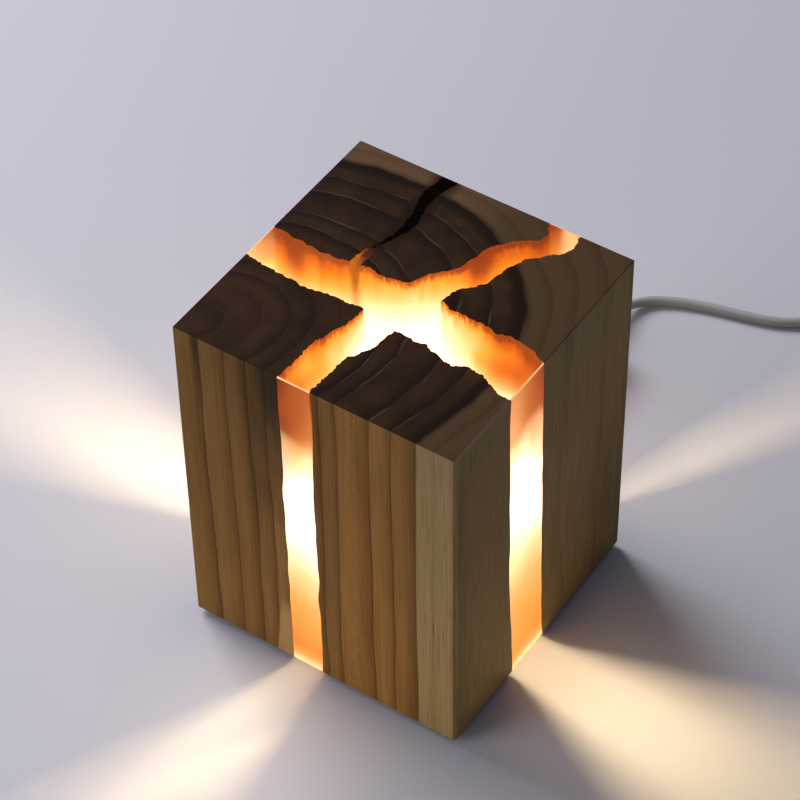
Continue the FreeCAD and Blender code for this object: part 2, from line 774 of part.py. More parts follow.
    sine = "sin(rocker_tilt * 1 deg)"
    cosine = "cos(rocker_tilt * 1 deg)"
    blade_top = f"(rocker_under - bridge_thick) * {cosine} - bridge_end * {sine} - contact_gap"
    for label, side, foot in (("contact_in", 1, -1), ("contact_out", -1, 1)):
        near = "blade_y" if foot > 0 else "blade_y + blade_thick"
        far = "blade_y + blade_thick" if foot > 0 else "blade_y"
        blade_corners = [
            (near, blade_top),
            (near, SWITCH_FLOOR),
            (f"{foot} * {BLADE_FOOT}", SWITCH_FLOOR),
            (f"{foot} * {BLADE_FOOT}", f"{SWITCH_FLOOR} + blade_thick"),
            (far, f"{SWITCH_FLOOR} + blade_thick"),
            (far, blade_top),
        ]
        at = (f"cord_x + {side} * blade_x", SWITCH_MIDDLE, SWITCH_AXIS)
        node(prism(label, "YZ_Plane", blade_corners, "blade_width", at, middle=True), label)

    jacket = f"({SWITCH_INNER_END} - nozzle_flange_thick - jacket_lip)"
    bend = f"({jacket} - lead_straight)"
    land = f"({SWITCH_FLOOR} + blade_thick + lead_radius + fit_gap)"
    live = "lead_pitch / 2"
    back = "-lead_pitch / 2"
    routes = [
        [
            (live, f"-{jacket}", "0"),
            (live, f"-{bend}", "0"),
            ("blade_x", f"-{BLADE_FOOT}", land),
            ("blade_x", f"lead_land - {BLADE_FOOT}", land),
        ],
        [
            (live, jacket, "0"),
            (live, bend, "0"),
            ("-blade_x", BLADE_FOOT, land),
            ("-blade_x", f"{BLADE_FOOT} - lead_land", land),
        ],
        [
            (back, f"-{jacket}", "0"),
            (back, f"-{bend}", "0"),
            ("-return_x", f"-{BLADE_FOOT}", "-return_drop"),
            ("-return_x", BLADE_FOOT, "-return_drop"),
            (back, bend, "0"),
            (back, jacket, "0"),
        ],
    ]
    leads = []
    for index, route in enumerate(routes):
        points = [point(middle) + point(corner) for corner in route]
        leads.append(tube(f"switch_lead_{index}", points, worth("lead_radius")))
    node(group("switch_leads", leads), "switch_leads")
    ends = [
        cylinder(
            f"cord_end_{side}", "cord_radius", f"switch_length / 2 + nozzle_length - {jacket}",
            ("cord_x", start, SWITCH_AXIS), TO_Y,
        )
        for side, start in (("near", NEAR_NOZZLE_TIP), ("far", f"{SWITCH_MIDDLE} + {jacket}"))
    ]
    node(group("switch_cord_ends", ends), "switch_cord_ends")


def cord_between():
    """The cord from the bushing to the switch. It drops a little between the two."""
    corners = [
        ("cord_x", RELIEF_TIP, CORD_Z),
        ("cord_x", f"{RELIEF_TIP} + {LAMP_CORD_BEND}", CORD_Z),
        ("cord_x", f"{NEAR_NOZZLE_TIP} - {LAMP_CORD_BEND}", SWITCH_AXIS),
        ("cord_x", NEAR_NOZZLE_TIP, SWITCH_AXIS),
    ]
    node(tube("cord_lamp", [point(corner) for corner in corners], worth("cord_radius")), "cord_lamp")


def coil_line():
    """The middle line of the coil, as a function of its turns. The radius swings in and out at a steady
    rate, with rounded turning points, and the height climbs a layer in the half turn about each of them."""
    centre = Vector(worth("coil_x"), worth("coil_y"), worth(COIL_BASE_Z))
    outer = worth(COIL_OUTER)
    pitch = worth(COIL_PITCH)

    def at(turns):
        layer = round(turns / COIL_SPAN)
        off = turns - layer * COIL_SPAN
        swing = abs(off)
        level = layer if off > 0 else layer - 1
        if abs(off) < COIL_EASE and 0 < layer < COIL_LAYERS:
            swing = off**2 / (2 * COIL_EASE) + COIL_EASE / 2
            share = (off + COIL_EASE) / (2 * COIL_EASE)
            level = layer - 1 + share * share * (3 - 2 * share)
        if layer % 2:
            swing = COIL_SPAN - swing
        level = min(max(level, 0), COIL_LAYERS - 1)
        radius = outer - pitch * swing
        angle = math.pi - 2 * math.pi * turns
        return centre + Vector(radius * math.cos(angle), radius * math.sin(angle), pitch * level)

    return at


def put_away_coil():
    """The unseen length of the cord: a run on the floor, one coil in layers held by a strap, and a tail."""
    at = coil_line()
    radius = worth("cord_radius")
    step = 1e-4

    def way(turns):
        inside = min(max(turns, step), COIL_TURNS - step)
        return (at(inside + step) - at(inside - step)).normalize()

    start = at(0)
    end = at(COIL_TURNS)
    straight_in = way(0) * 2 * radius
    straight_out = way(COIL_TURNS) * 2 * radius
    edges = [Part.LineSegment(start - straight_in, start).toShape()]
    for quarter in range(int(4 * COIL_TURNS)):
        near = quarter / 4
        far = (quarter + 1) / 4
        edges += biarc(at(near), way(near), at(far), way(far))
    edges.append(Part.LineSegment(end, end + straight_out).toShape())
    path = Part.Wire(edges)
    coil = doc.addObject("Part::Feature", "cord_coil")
    coil.Shape = swept(path, radius, start - straight_in, straight_in)
    share = coil.Shape.Volume / (math.pi * radius**2 * path.Length)
    gap = coil_gap(path, radius)
    print("coil length", round(path.Length, 1), "volume share", round(share, 4), "least gap", gap)
    node(coil, "cord_coil")

    run = [point(("cord_x", y, SWITCH_AXIS)) for y in (FAR_NOZZLE_TIP, f"{FAR_NOZZLE_TIP} + cord_straight")]
    run += [Vector(*stop) for stop in RUN_POINTS]
    run += [start - straight_in * 3, start - straight_in]
    node(tube("cord_run", run, radius), "cord_run")

    bend = end + straight_out * 3
    tail = [end + straight_out, bend]
    tail += [Vector(worth(PLUG_X), bend.y - along, bend.z - down) for along, down in TAIL_DROPS]
    tail += [point((PLUG_X, y, PLUG_AXIS)) for y in (f"{PLUG_RELIEF_TIP} + cord_straight", PLUG_RELIEF_TIP)]
    node(tube("cord_tail", tail, radius), "cord_tail")
    strap()


def coil_gap(path, radius):
    """The least gap between the turns, measured on points a millimetre apart."""
    count = int(path.Length)
    points = path.discretize(Number=count)
    apart = int(6 * radius)
    least = min(
        (points[i] - points[j]).Length for i in range(count) for j in range(i + apart, count)
    )
    return round(least - 2 * radius, 2)


def strap():
    """A flat strap round the turns at one place."""
    spread = f"{COIL_OUTER} - {COIL_INNER} + 2 * (cord_radius + tie_side_gap)"
    stack = f"{COIL_TOP_Z} - {COIL_BASE_Z} + 2 * (cord_radius + tie_gap)"
    inner = f"{COIL_INNER} - cord_radius - tie_side_gap"
    outside = (f"{spread} + 2 * tie_thick", "tie_width", f"{stack} + 2 * tie_thick")
    turn = Rotation(Vector(0, 0, 1), TIE_ANGLE)

    def corner(reach, height):
        x = f"coil_x + ({reach}) * cos({TIE_ANGLE} deg) + tie_width / 2 * sin({TIE_ANGLE} deg)"
        y = f"coil_y + ({reach}) * sin({TIE_ANGLE} deg) - tie_width / 2 * cos({TIE_ANGLE} deg)"
        return x, y, height

    whole = box("strap_outside", outside, corner(f"{inner} - tie_thick", "0"), turn)
    room = box("strap_inside", (spread, "tie_width", stack), corner(inner, "tie_thick"), turn)
    node(cut("coil_tie", whole, room), "coil_tie")


def plug_box(name, width, length, height, mouth, base, shift="0"):
    """A box of the plug, from its end nearest the mouth and its lowest height."""
    return box(name, (width, length, height), (f"{PLUG_X} + {shift} - ({width}) / 2", mouth, base))


def plug():
    """Plug at the end of the cord, its mouth towards -Y: moulded grip, steel shell, tongue and contacts."""
    at = (PLUG_X, "plug_y", PLUG_AXIS)
    grip = new_body("plug_grip", at, TO_FRONT)
    blank = pad(grip, "XY_Plane", rectangle("plug_width / 2", "plug_height / 2"), "plug_length")
    round_edges(grip, blank, "plug_corner", lambda edge: runs_along(edge, Vector(0, 0, 1)))
    relief_at = (PLUG_X, PLUG_RELIEF_TIP, PLUG_AXIS)
    form = ("plug_relief_tip", "plug_relief_root", "plug_relief_length")
    relief = cone("plug_relief", *form, relief_at, TO_FRONT)
    moulding = fused("plug_moulding", [grip, relief])
    cord_depth = "plug_relief_length + plug_cord_depth"
    cord_bore = cylinder("plug_cord_bore", "cord_radius + fit_gap", cord_depth, relief_at, TO_FRONT)
    node(cylinder("plug_cord_end", "cord_radius", cord_depth, relief_at, TO_FRONT), "plug_cord_end")
    shell_length = "shell_insert + shell_reach"
    shell_base = f"{PLUG_AXIS} - shell_height / 2"
    outside = plug_box("shell_outside", "shell_width", shell_length, "shell_height", SHELL_MOUTH, shell_base)
    node(cut("plug_body", moulding, cord_bore, outside), "plug_body")

    room_base = f"{shell_base} + shell_wall"
    room_width = "shell_width - 2 * shell_wall"
    room_height = "shell_height - 2 * shell_wall"
    room = plug_box("shell_room", room_width, shell_length, room_height, SHELL_MOUTH, room_base)
    windows = []
    for side in (-1, 1):
        windows.append(
            plug_box(
                f"shell_window_{len(windows)}", "shell_window", "shell_window", "shell_height",
                f"{SHELL_MOUTH} + shell_window_back", PLUG_AXIS, f"{side} * shell_width / 4",
            )
        )
    node(cut("plug_shell", outside, room, *windows), "plug_shell")

    tongue_mouth = f"{SHELL_MOUTH} + tongue_back"
    tongue = plug_box(
        "plug_tongue", room_width, f"{shell_length} - tongue_back", "tongue_thick", tongue_mouth, room_base
    )
    node(tongue, "plug_tongue")
    strips = []
    for index in range(CONTACT_COUNT):
        shift = f"{index - (CONTACT_COUNT - 1) / 2} * contact_strip_pitch"
        strips.append(
            plug_box(
                f"strip_{index}", "contact_strip_width", "contact_strip_length", "contact_strip_thick",
                f"{tongue_mouth} + tongue_back", f"{room_base} + tongue_thick", shift,
            )
        )
    node(group("plug_contacts", strips), "plug_contacts")


block_of_wood()
cover_and_feet()
light_module()
cord_entry()
inline_switch()
cord_between()
put_away_coil()
plug()
doc.recompute()

for thing in doc.Objects:
    if "Invalid" in thing.State or "Error" in thing.State:
        raise RuntimeError(f"{thing.Label} failed: {thing.State}")
for thing in nodes:
    if thing.Shape.isNull() or not thing.Shape.isValid():
        raise RuntimeError(f"{thing.Label} has no valid shape")

os.makedirs("parts", exist_ok=True)
for thing in nodes:
    thing.Shape.exportStep(f"parts/{thing.Label}.step")
print(len(nodes), "sub-parts written")
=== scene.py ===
import json
import math

import bmesh
import bpy
from mathutils import Matrix, Vector, geometry, noise


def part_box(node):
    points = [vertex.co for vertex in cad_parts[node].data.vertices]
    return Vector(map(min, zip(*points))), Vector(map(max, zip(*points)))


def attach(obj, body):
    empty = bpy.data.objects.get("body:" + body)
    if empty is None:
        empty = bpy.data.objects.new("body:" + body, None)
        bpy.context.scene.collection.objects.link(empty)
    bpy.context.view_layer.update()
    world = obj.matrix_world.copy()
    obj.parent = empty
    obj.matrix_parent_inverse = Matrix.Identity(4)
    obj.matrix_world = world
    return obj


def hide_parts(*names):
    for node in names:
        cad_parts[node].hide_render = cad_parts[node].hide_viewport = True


# Night light: a block of split wood cast together with resin that glows from inside. Metres, in the
# frame of the part: the floor is z = 0, the cord leaves the block towards +Y.

MM = 0.001
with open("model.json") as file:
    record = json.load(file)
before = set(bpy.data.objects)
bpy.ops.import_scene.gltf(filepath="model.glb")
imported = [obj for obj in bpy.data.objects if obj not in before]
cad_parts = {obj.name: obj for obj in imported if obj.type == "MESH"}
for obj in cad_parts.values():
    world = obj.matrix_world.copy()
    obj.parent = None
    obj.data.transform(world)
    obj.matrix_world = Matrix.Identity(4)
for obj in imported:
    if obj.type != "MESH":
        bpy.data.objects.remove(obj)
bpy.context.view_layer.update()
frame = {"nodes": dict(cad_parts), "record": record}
nodes = frame["nodes"]
scene = bpy.context.scene
scene.view_settings.view_transform = "Standard"

LAMP = "lamp"
BLOCK_LOW, BLOCK_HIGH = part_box("resin_cross")
WELL_X, WELL_Y = 2 * MM, -5 * MM


def new_object(name, data):
    """A new object in the scene."""
    thing = bpy.data.objects.new(name, data)
    scene.collection.objects.link(thing)
    return thing


def ease(share):
    """A share from 0 to 1 that starts and ends gently."""
    return share * share * (3 - 2 * share)


# Camera at the photograph's viewing angle, in radians.
FOCAL_PIXELS, PHOTO_PIXELS, SENSOR = 3023.16, 800, 36
AZIMUTH, ELEVATION, ROLL = 0.600896, 0.808812, -0.016699
CAMERA_AT = Vector((363.07, -533.62, 761.21)) * MM
CLIP_START = 10 * MM


def photo_camera():
    back = Vector((
        math.sin(AZIMUTH) * math.cos(ELEVATION),
        -math.cos(AZIMUTH) * math.cos(ELEVATION),
        math.sin(ELEVATION),
    ))
    level = Vector((math.cos(AZIMUTH), math.sin(AZIMUTH), 0))
    upward = back.cross(level)
    right = math.cos(ROLL) * level + math.sin(ROLL) * upward
    up = math.cos(ROLL) * upward - math.sin(ROLL) * level
    data = bpy.data.cameras.new("camera")
    data.sensor_width = SENSOR
    data.lens = FOCAL_PIXELS / PHOTO_PIXELS * SENSOR
    data.clip_start = CLIP_START
    thing = new_object("camera", data)
    thing.matrix_world = Matrix.Translation(CAMERA_AT) @ Matrix((right, up, back)).transposed().to_4x4()
    scene.camera = thing


photo_camera()

# Cord: from the lamp to the switch, and from the switch over the floor to the tied coil and the plug.
# The points of the route are in millimetres.
CORD_RADIUS = 1.8 * MM
CORD_STEPS = 6
LAMP_CORD = [(-5, 16.95, 8.2), (-5, 61, 8.2), (-5, 66, 8.2), (-5, 72, 7), (-5, 77, 7), (-5, 86, 7)]
RUN = [
    (-5, 120, 7), (-5, 129, 7), (-5, 134.5, 7), (-4.8, 140.5, 5.4), (-3.2, 147, 3.2), (0.4, 153, 2.1),
    (6.4, 157.2, 1.8), (15.2, 160.8, 1.8), (25, 163.6, 1.8), (34.5, 165.8, 1.8), (43.2, 168.4, 1.8),
    (50.6, 172.6, 1.8), (56.2, 178.6, 1.9),
]
TAIL_DROPS = [(7, 1.5), (13.3, 4.6), (19.6, 7.9), (26.1, 10)]
PLUG_TIP = Vector((108.928, 148.7, 4))
PLUG_STRAIGHT = 5.5
PLUG_DEPTH = 18
COIL_CENTRE = Vector((84, 197, 2.5))
COIL_TURNS, COIL_LAYERS, COIL_EASE = 9.5, 4, 0.25
COIL_PITCH = 4.15
COIL_SPAN = COIL_TURNS / COIL_LAYERS
COIL_RADIUS = 20
COIL_OUTER = COIL_RADIUS + COIL_PITCH * COIL_SPAN / 2
POINTS_PER_TURN = 24
COIL_LEAD = (3.6, 10.8)


def coil_point(turns, swell=1.0):
    """A point of the coil's middle line. The radius swings in and out, and the height climbs by layers."""
    layer = round(turns / COIL_SPAN)
    off = turns - layer * COIL_SPAN
    swing = abs(off)
    level = layer if off > 0 else layer - 1
    if abs(off) < COIL_EASE and 0 < layer < COIL_LAYERS:
        swing = off**2 / (2 * COIL_EASE) + COIL_EASE / 2
        level = layer - 1 + ease((off + COIL_EASE) / (2 * COIL_EASE))
    if layer % 2:
        swing = COIL_SPAN - swing
    level = min(max(level, 0), COIL_LAYERS - 1)
    radius = (COIL_OUTER - COIL_PITCH * swing) * swell
    angle = math.pi - 2 * math.pi * turns
    return COIL_CENTRE + Vector((radius * math.cos(angle), radius * math.sin(angle), COIL_PITCH * level))


def main_cord_points():
    """Run on the floor, turns of the coil, and tail to the plug, in millimetres."""
    swell = 1 / math.cos(math.pi / POINTS_PER_TURN)
    start, end = coil_point(0), coil_point(COIL_TURNS)
    last = int(COIL_TURNS * POINTS_PER_TURN)
    points = [Vector(stop) for stop in RUN]
    points += [start - Vector((0, lead, 0)) for lead in reversed(COIL_LEAD)]
    points += [coil_point(step / POINTS_PER_TURN, swell) for step in range(last + 1)]
    points += [end - Vector((0, lead, 0)) for lead in COIL_LEAD]
    bend = points[-1]
    points += [Vector((PLUG_TIP.x, bend.y - along, bend.z - down)) for along, down in TAIL_DROPS]
    points += [PLUG_TIP + Vector((0, reach, 0)) for reach in (PLUG_STRAIGHT, 0, -PLUG_DEPTH)]
    return points


def cord(name, points):
    data = bpy.data.curves.new(name, "CURVE")
    data.dimensions = "3D"
    spline = data.splines.new("NURBS")
    spline.points.add(len(points) - 1)
    for target, stop in zip(spline.points, points):
        target.co = (*(Vector(stop) * MM), 1)
        target.radius = CORD_RADIUS
    spline.order_u = 3
    spline.use_endpoint_u = True
    spline.resolution_u = CORD_STEPS
    data.bevel_depth = 1
    data.bevel_resolution = CORD_STEPS
    data.use_fill_caps = True
    thing = new_object(name, data)
    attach(thing, LAMP)
    return thing


flex_lamp = cord("flex_lamp", LAMP_CORD)
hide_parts("cord_inlet", "cord_lamp")
flex_main = cord("flex_main", main_cord_points())
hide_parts("switch_cord_ends", "cord_run", "cord_coil", "cord_tail", "plug_cord_end")

# Noise drawn out along the height: scales across it and along it, detail, roughness.
GRAINS = {
    "sway": (0.035, 0.009, 2, 0.5),
    "ripple": (0.12, 0.02, 2, 0.5),
    "fibre": (1.5, 0.035, 4, 0.6),
    "broad": (0.1, 0.018, 3, 0.5),
    "faint": (0.2, 0.02, 2, 0.5),
    "dash": (2.2, 0.07, 2, 0.5),
    "fleck": (1.1, 0.8, 3, 0.6),
    "cloud": (0.07, 0.02, 3, 0.6),
    "wall": (0.4, 0.03, 3, 0.6),
    "wall_fine": (1.6, 0.16, 3, 0.65),
    "frost": (0.05, 0.03, 2, 0.5),
}
# How far from 0.5 a noise is taken to reach.
NARROW, MEDIUM, WIDE = 0.15, 0.2, 0.25
# Sockets of a Mix node that mixes colours.
MIX_SHARE, MIX_A, MIX_B, MIX_RESULT = 0, 6, 7, 2
BLACK = (0.0, 0.0, 0.0)


class Graph:
    """Short names for the nodes of one material."""

    def __init__(self, name):
        self.material = bpy.data.materials.new(name)
        self.material.use_nodes = True
        self.tree = self.material.node_tree
        self.shader = self.tree.nodes["Principled BSDF"]

    def give(self, socket, value):
        if isinstance(value, bpy.types.NodeSocket):
            self.tree.links.new(value, socket)
        else:
            socket.default_value = value

    def node(self, kind, inputs=(), **settings):
        made = self.tree.nodes.new(kind)
        for name, value in settings.items():
            setattr(made, name, value)
        for key, value in dict(inputs).items():
            self.give(made.inputs[key], value)
        return made

    def shade(self, **inputs):
        for name, value in inputs.items():
            self.give(self.shader.inputs[name.replace("_", " ")], value)
        return self.material

    def position(self):
        """Place in the part's frame, in millimetres."""
        where = self.node("ShaderNodeTexCoord").outputs["Object"]
        return self.node("ShaderNodeVectorMath", {0: where, "Scale": 1 / MM}, operation="SCALE").outputs[0]

    def level(self):
        """How level a face is: 1 where it is flat, 0 where it is upright."""
        normal = self.node("ShaderNodeNewGeometry").outputs["True Normal"]
        return self.math("ABSOLUTE", self.split(normal)[2])

    def split(self, vector):
        return tuple(self.node("ShaderNodeSeparateXYZ", {0: vector}).outputs)

    def math(self, operation, *values):
        return self.node("ShaderNodeMath", dict(enumerate(values)), operation=operation).outputs[0]

    def chain(self, operation, values):
        total, *rest = values
        for value in rest:
            total = self.math(operation, total, value)
        return total

    def add(self, *values):
        return self.chain("ADD", values)

    def times(self, *values):
        return self.chain("MULTIPLY", values)

    def minus(self, value, other):
        return self.math("SUBTRACT", value, other)

    def larger(self, value, other):
        return self.math("MAXIMUM", value, other)

    def off(self, value, middle):
        """How far a value is from a middle one."""
        return self.math("ABSOLUTE", self.minus(value, middle))

    def noise(self, vector, scale, detail=2, rough=0.5):
        inputs = {"Vector": vector, "Scale": scale, "Detail": detail, "Roughness": rough}
        return self.node("ShaderNodeTexNoise", inputs).outputs["Fac"]

    def grain(self, name, place):
        across, along, detail, rough = GRAINS[name]
        inputs = {0: place, 1: (across, across, along)}
        drawn = self.node("ShaderNodeVectorMath", inputs, operation="MULTIPLY").outputs[0]
        return self.noise(drawn, 1, detail, rough)

    def remap(self, value, low, high, to_low=0.0, to_high=1.0, smooth=False):
        inputs = {0: value, 1: low, 2: high, 3: to_low, 4: to_high}
        kind = "SMOOTHSTEP" if smooth else "LINEAR"
        return self.node("ShaderNodeMapRange", inputs, interpolation_type=kind).outputs[0]

    def swing(self, value, reach, spread=MEDIUM):
        """A noise, which keeps near 0.5, as a number from -reach to reach."""
        return self.remap(value, 0.5 - spread, 0.5 + spread, -reach, reach)

    def between(self, value, start, full, fade, end, top=1.0):
        """A share that rises from start to full, and falls from fade to end."""
        return self.times(self.remap(value, start, full, 0, top), self.remap(value, end, fade))

    def ramp(self, value, stops):
        made = self.node("ShaderNodeValToRGB", {0: value})
        elements = made.color_ramp.elements
        while len(elements) < len(stops):
            elements.new(0.5)
        for element, (at, colour) in zip(elements, stops):
            element.position = at
            element.color = (*colour, 1)
        return made.outputs[0]

    def curve(self, value, knots):
        """A broken line through the knots, both coordinates from 0 to 1."""
        made = self.node("ShaderNodeFloatCurve", {"Value": value})
        points = made.mapping.curves[0].points
        while len(points) < len(knots):
            points.new(0.5, 0.5)
        for knot, at in zip(points, knots):
            knot.location = at
            knot.handle_type = "VECTOR"
        made.mapping.update()
        return made.outputs[0]

    def mix(self, share, a, b, blend="MIX"):
        made = self.node("ShaderNodeMix", data_type="RGBA", blend_type=blend)
        for socket, value in ((MIX_SHARE, share), (MIX_A, a), (MIX_B, b)):
            if isinstance(value, tuple):
                value = (*value, 1)
            self.give(made.inputs[socket], value)
        return made.outputs[MIX_RESULT]

    def tint(self, share, colour, factor):
        """A colour that is multiplied by a factor, by a share of it."""
        return self.mix(share, colour, self.mix(1.0, colour, factor, "MULTIPLY"))

    def bump(self, height, strength, distance):
        inputs = {"Height": height, "Strength": strength, "Distance": distance}
        return self.node("ShaderNodeBump", inputs).outputs["Normal"]


# Wood: growth rings about an upright pith near the left corner, dark heartwood, pale sapwood. Places are
# in millimetres. Here and below, a pair of numbers is where a share is 0 and where it is 1, and two more
# numbers are its values there instead. A band is where a share starts, is full, fades and ends, with its
# height as a fifth number if it isn't 1.
PITH_X, PITH_Y, PITH_SKEW = -47, -45, 0.578
RING_ENDS = [9.6, 18.1, 25.5, 31.3, 38, 44.5, 51, 56.5, 68.4, 76.1, 84.5, 91, 98, 106, 114]
RING_TOP = 120
RING_SWAY, RING_RIPPLE = 1.2, 0.5
HEART_RINGS = 11

# Sides, cut along the trunk.
EARLY_TO_LATE = [
    (0, (0.250, 0.132, 0.042)), (0.4, (0.262, 0.140, 0.044)), (0.75, (0.215, 0.110, 0.031)),
    (1, (0.150, 0.072, 0.019)),
]
OWN_TONE, OWN_SHARE = (0.72, 0.64, 0.55), (0, 1, 0, 0.5)
RING_LINE, LINE_BEFORE, LINE_AFTER = (0.050, 0.022, 0.006), (0.95, 0.995), (0.025, 0.005)
LINE_SHARE = (0.35, 0.65, 0.4, 0.9)
SAP_EDGE = (HEART_RINGS - 0.06, HEART_RINGS + 0.06)
SAP, PALE_SAP, PALE_SAP_SHARE = (0.310, 0.206, 0.086), (0.400, 0.280, 0.125), (0.3, 0.7)
LATE_SAP, LATE_SAP_SHARE = (0.20, 0.120, 0.042), (0.7, 1, 0, 0.35)
SAP_DASH, SAP_DASH_SHARE = (0.13, 0.072, 0.024), (0.62, 0.72, 0, 0.6)
BROAD_TONE, BROAD_SHARE = (0.66, 0.60, 0.52), (0.4, 0.75, 0, 0.6)
FIBRE_TONE, FIBRE_SHARE = (0.55, 0.50, 0.44), (0.42, 0.72, 0, 0.5)
LIGHTER_TONE, LIGHTER_BAND = (1.32, 1.27, 1.18), (4, 10, 28, 36)
FLECK_TONE, FLECK_SHARE, FLECK_BAND = (1.3, 1.3, 1.3), (0.56, 0.7), (8, 11, 17, 20)
DRIFT, DARK_PATCH_DRIFT, STREAK_DRIFT = 5, 4, 0.3
# A dark patch beside the front crack, darker towards the top, and a dark streak near the left edge.
SIDE_DARK, DARK_PATCH_BAND, DARK_PATCH_Z = (0.034, 0.020, 0.010), (-31, -17, -8, -2), (64, 124, 0, 0.93)
STREAK_X, STREAK_WIDTH, STREAK_Z = -42, (2.6, 0.4), (98, 126, 0, 0.75)
PALE_FOOT, PALE_SHARE, PALE_SLOPE = (0.42, 0.25, 0.10), 0.75, -0.10
PALE_START, PALE_END, PALE_Z = (-18.6, -17.8), (-6, -9), (30, 22)
# Painted shade on the right face, low and towards the back.
PAINTED_SHADE_TONE, PAINTED_SHADE_X, PAINTED_SHADE_Y, PAINTED_SHADE_Z = (0.55, 0.54, 0.48), (44, 49), (10, 38), (100, 35)
# Painted light on the sides: darker towards the top and lighter towards the foot, as if lit from the floor.
SHADED_TOP_TONE, LIT_FOOT_TONE, PAINTED_LIGHT_HEIGHTS = (0.88, 0.90, 0.94), (1.12, 1.10, 1.06), (125, 10)

# Top, cut across the trunk: end grain, darker than the sides, and darker still as painted shade of the top.
END, DARK_END, DARK_END_SHARE = (0.042, 0.0200, 0.0090), (0.023, 0.0100, 0.0042), (0.35, 0.65)
LATE_END, LATE_BAND = (0.0080, 0.0032, 0.0014), (0.45, 0.9, 0.97, 1)
LATE_TONE, LATE_RINGS = (0, 1, 0.35, 1), (3, 7, 0.55, 1)
EDGE, EDGE_BEFORE, EDGE_AFTER = (0.115, 0.068, 0.038), (0.965, 0.99), (0.05, 0.01)
EDGE_PATCHES, EDGE_SHARE, EDGE_RINGS = 0.09, (0.44, 0.62, 0, 0.6), (5, 7.5, 0.2, 1)
BOUND, BOUND_AT, BOUND_WIDTH = (0.0085, 0.0036, 0.0018), HEART_RINGS - 0.2, (0.35, 0.05, 0, 0.7)
END_SAP_EDGE = (HEART_RINGS - 0.1, HEART_RINGS + 0.25)
END_SAP, LATE_END_SAP, LATE_END_SAP_SHARE = (0.080, 0.047, 0.024), (0.064, 0.036, 0.018), (0.5, 1)
# Painted sheen: the end sapwood lighter and bluer towards the back-left corner, as if it caught the light.
SHEEN_TONE, SHEEN_X, SHEEN_Y = (1.6, 1.55, 1.7), (10, -10), (24, 40)
HALO, HALO_X, HALO_DRIFT = (0.0075, 0.0034, 0.0018), -16.7, 1
HALO_WIDTH, HALO_Y = (5.5, 2.5, 0, 0.75), (8, 18)
PORE_NOISE, PORE_TONE, PORE_SHARE = (1.8, 4, 0.7), (0.5, 0.46, 0.42), (0.4, 0.75, 0, 0.55)

# Chamfered edges between them, coloured as a painted highlight, and the finish.
TOP_LEVEL, HIGHLIGHT_BAND = (0.72, 0.8), (0.6, 0.66, 0.74, 0.8)
EDGE_HIGHLIGHT, PALE_EDGE_HIGHLIGHT = (0.36, 0.25, 0.14), (0.52, 0.37, 0.21)
WOOD_ROUGHNESS = (0.3, 0.8, 0.6, 0.75)
WOOD_BUMP, WOOD_BUMP_DEPTH = 0.25, 0.2 * MM


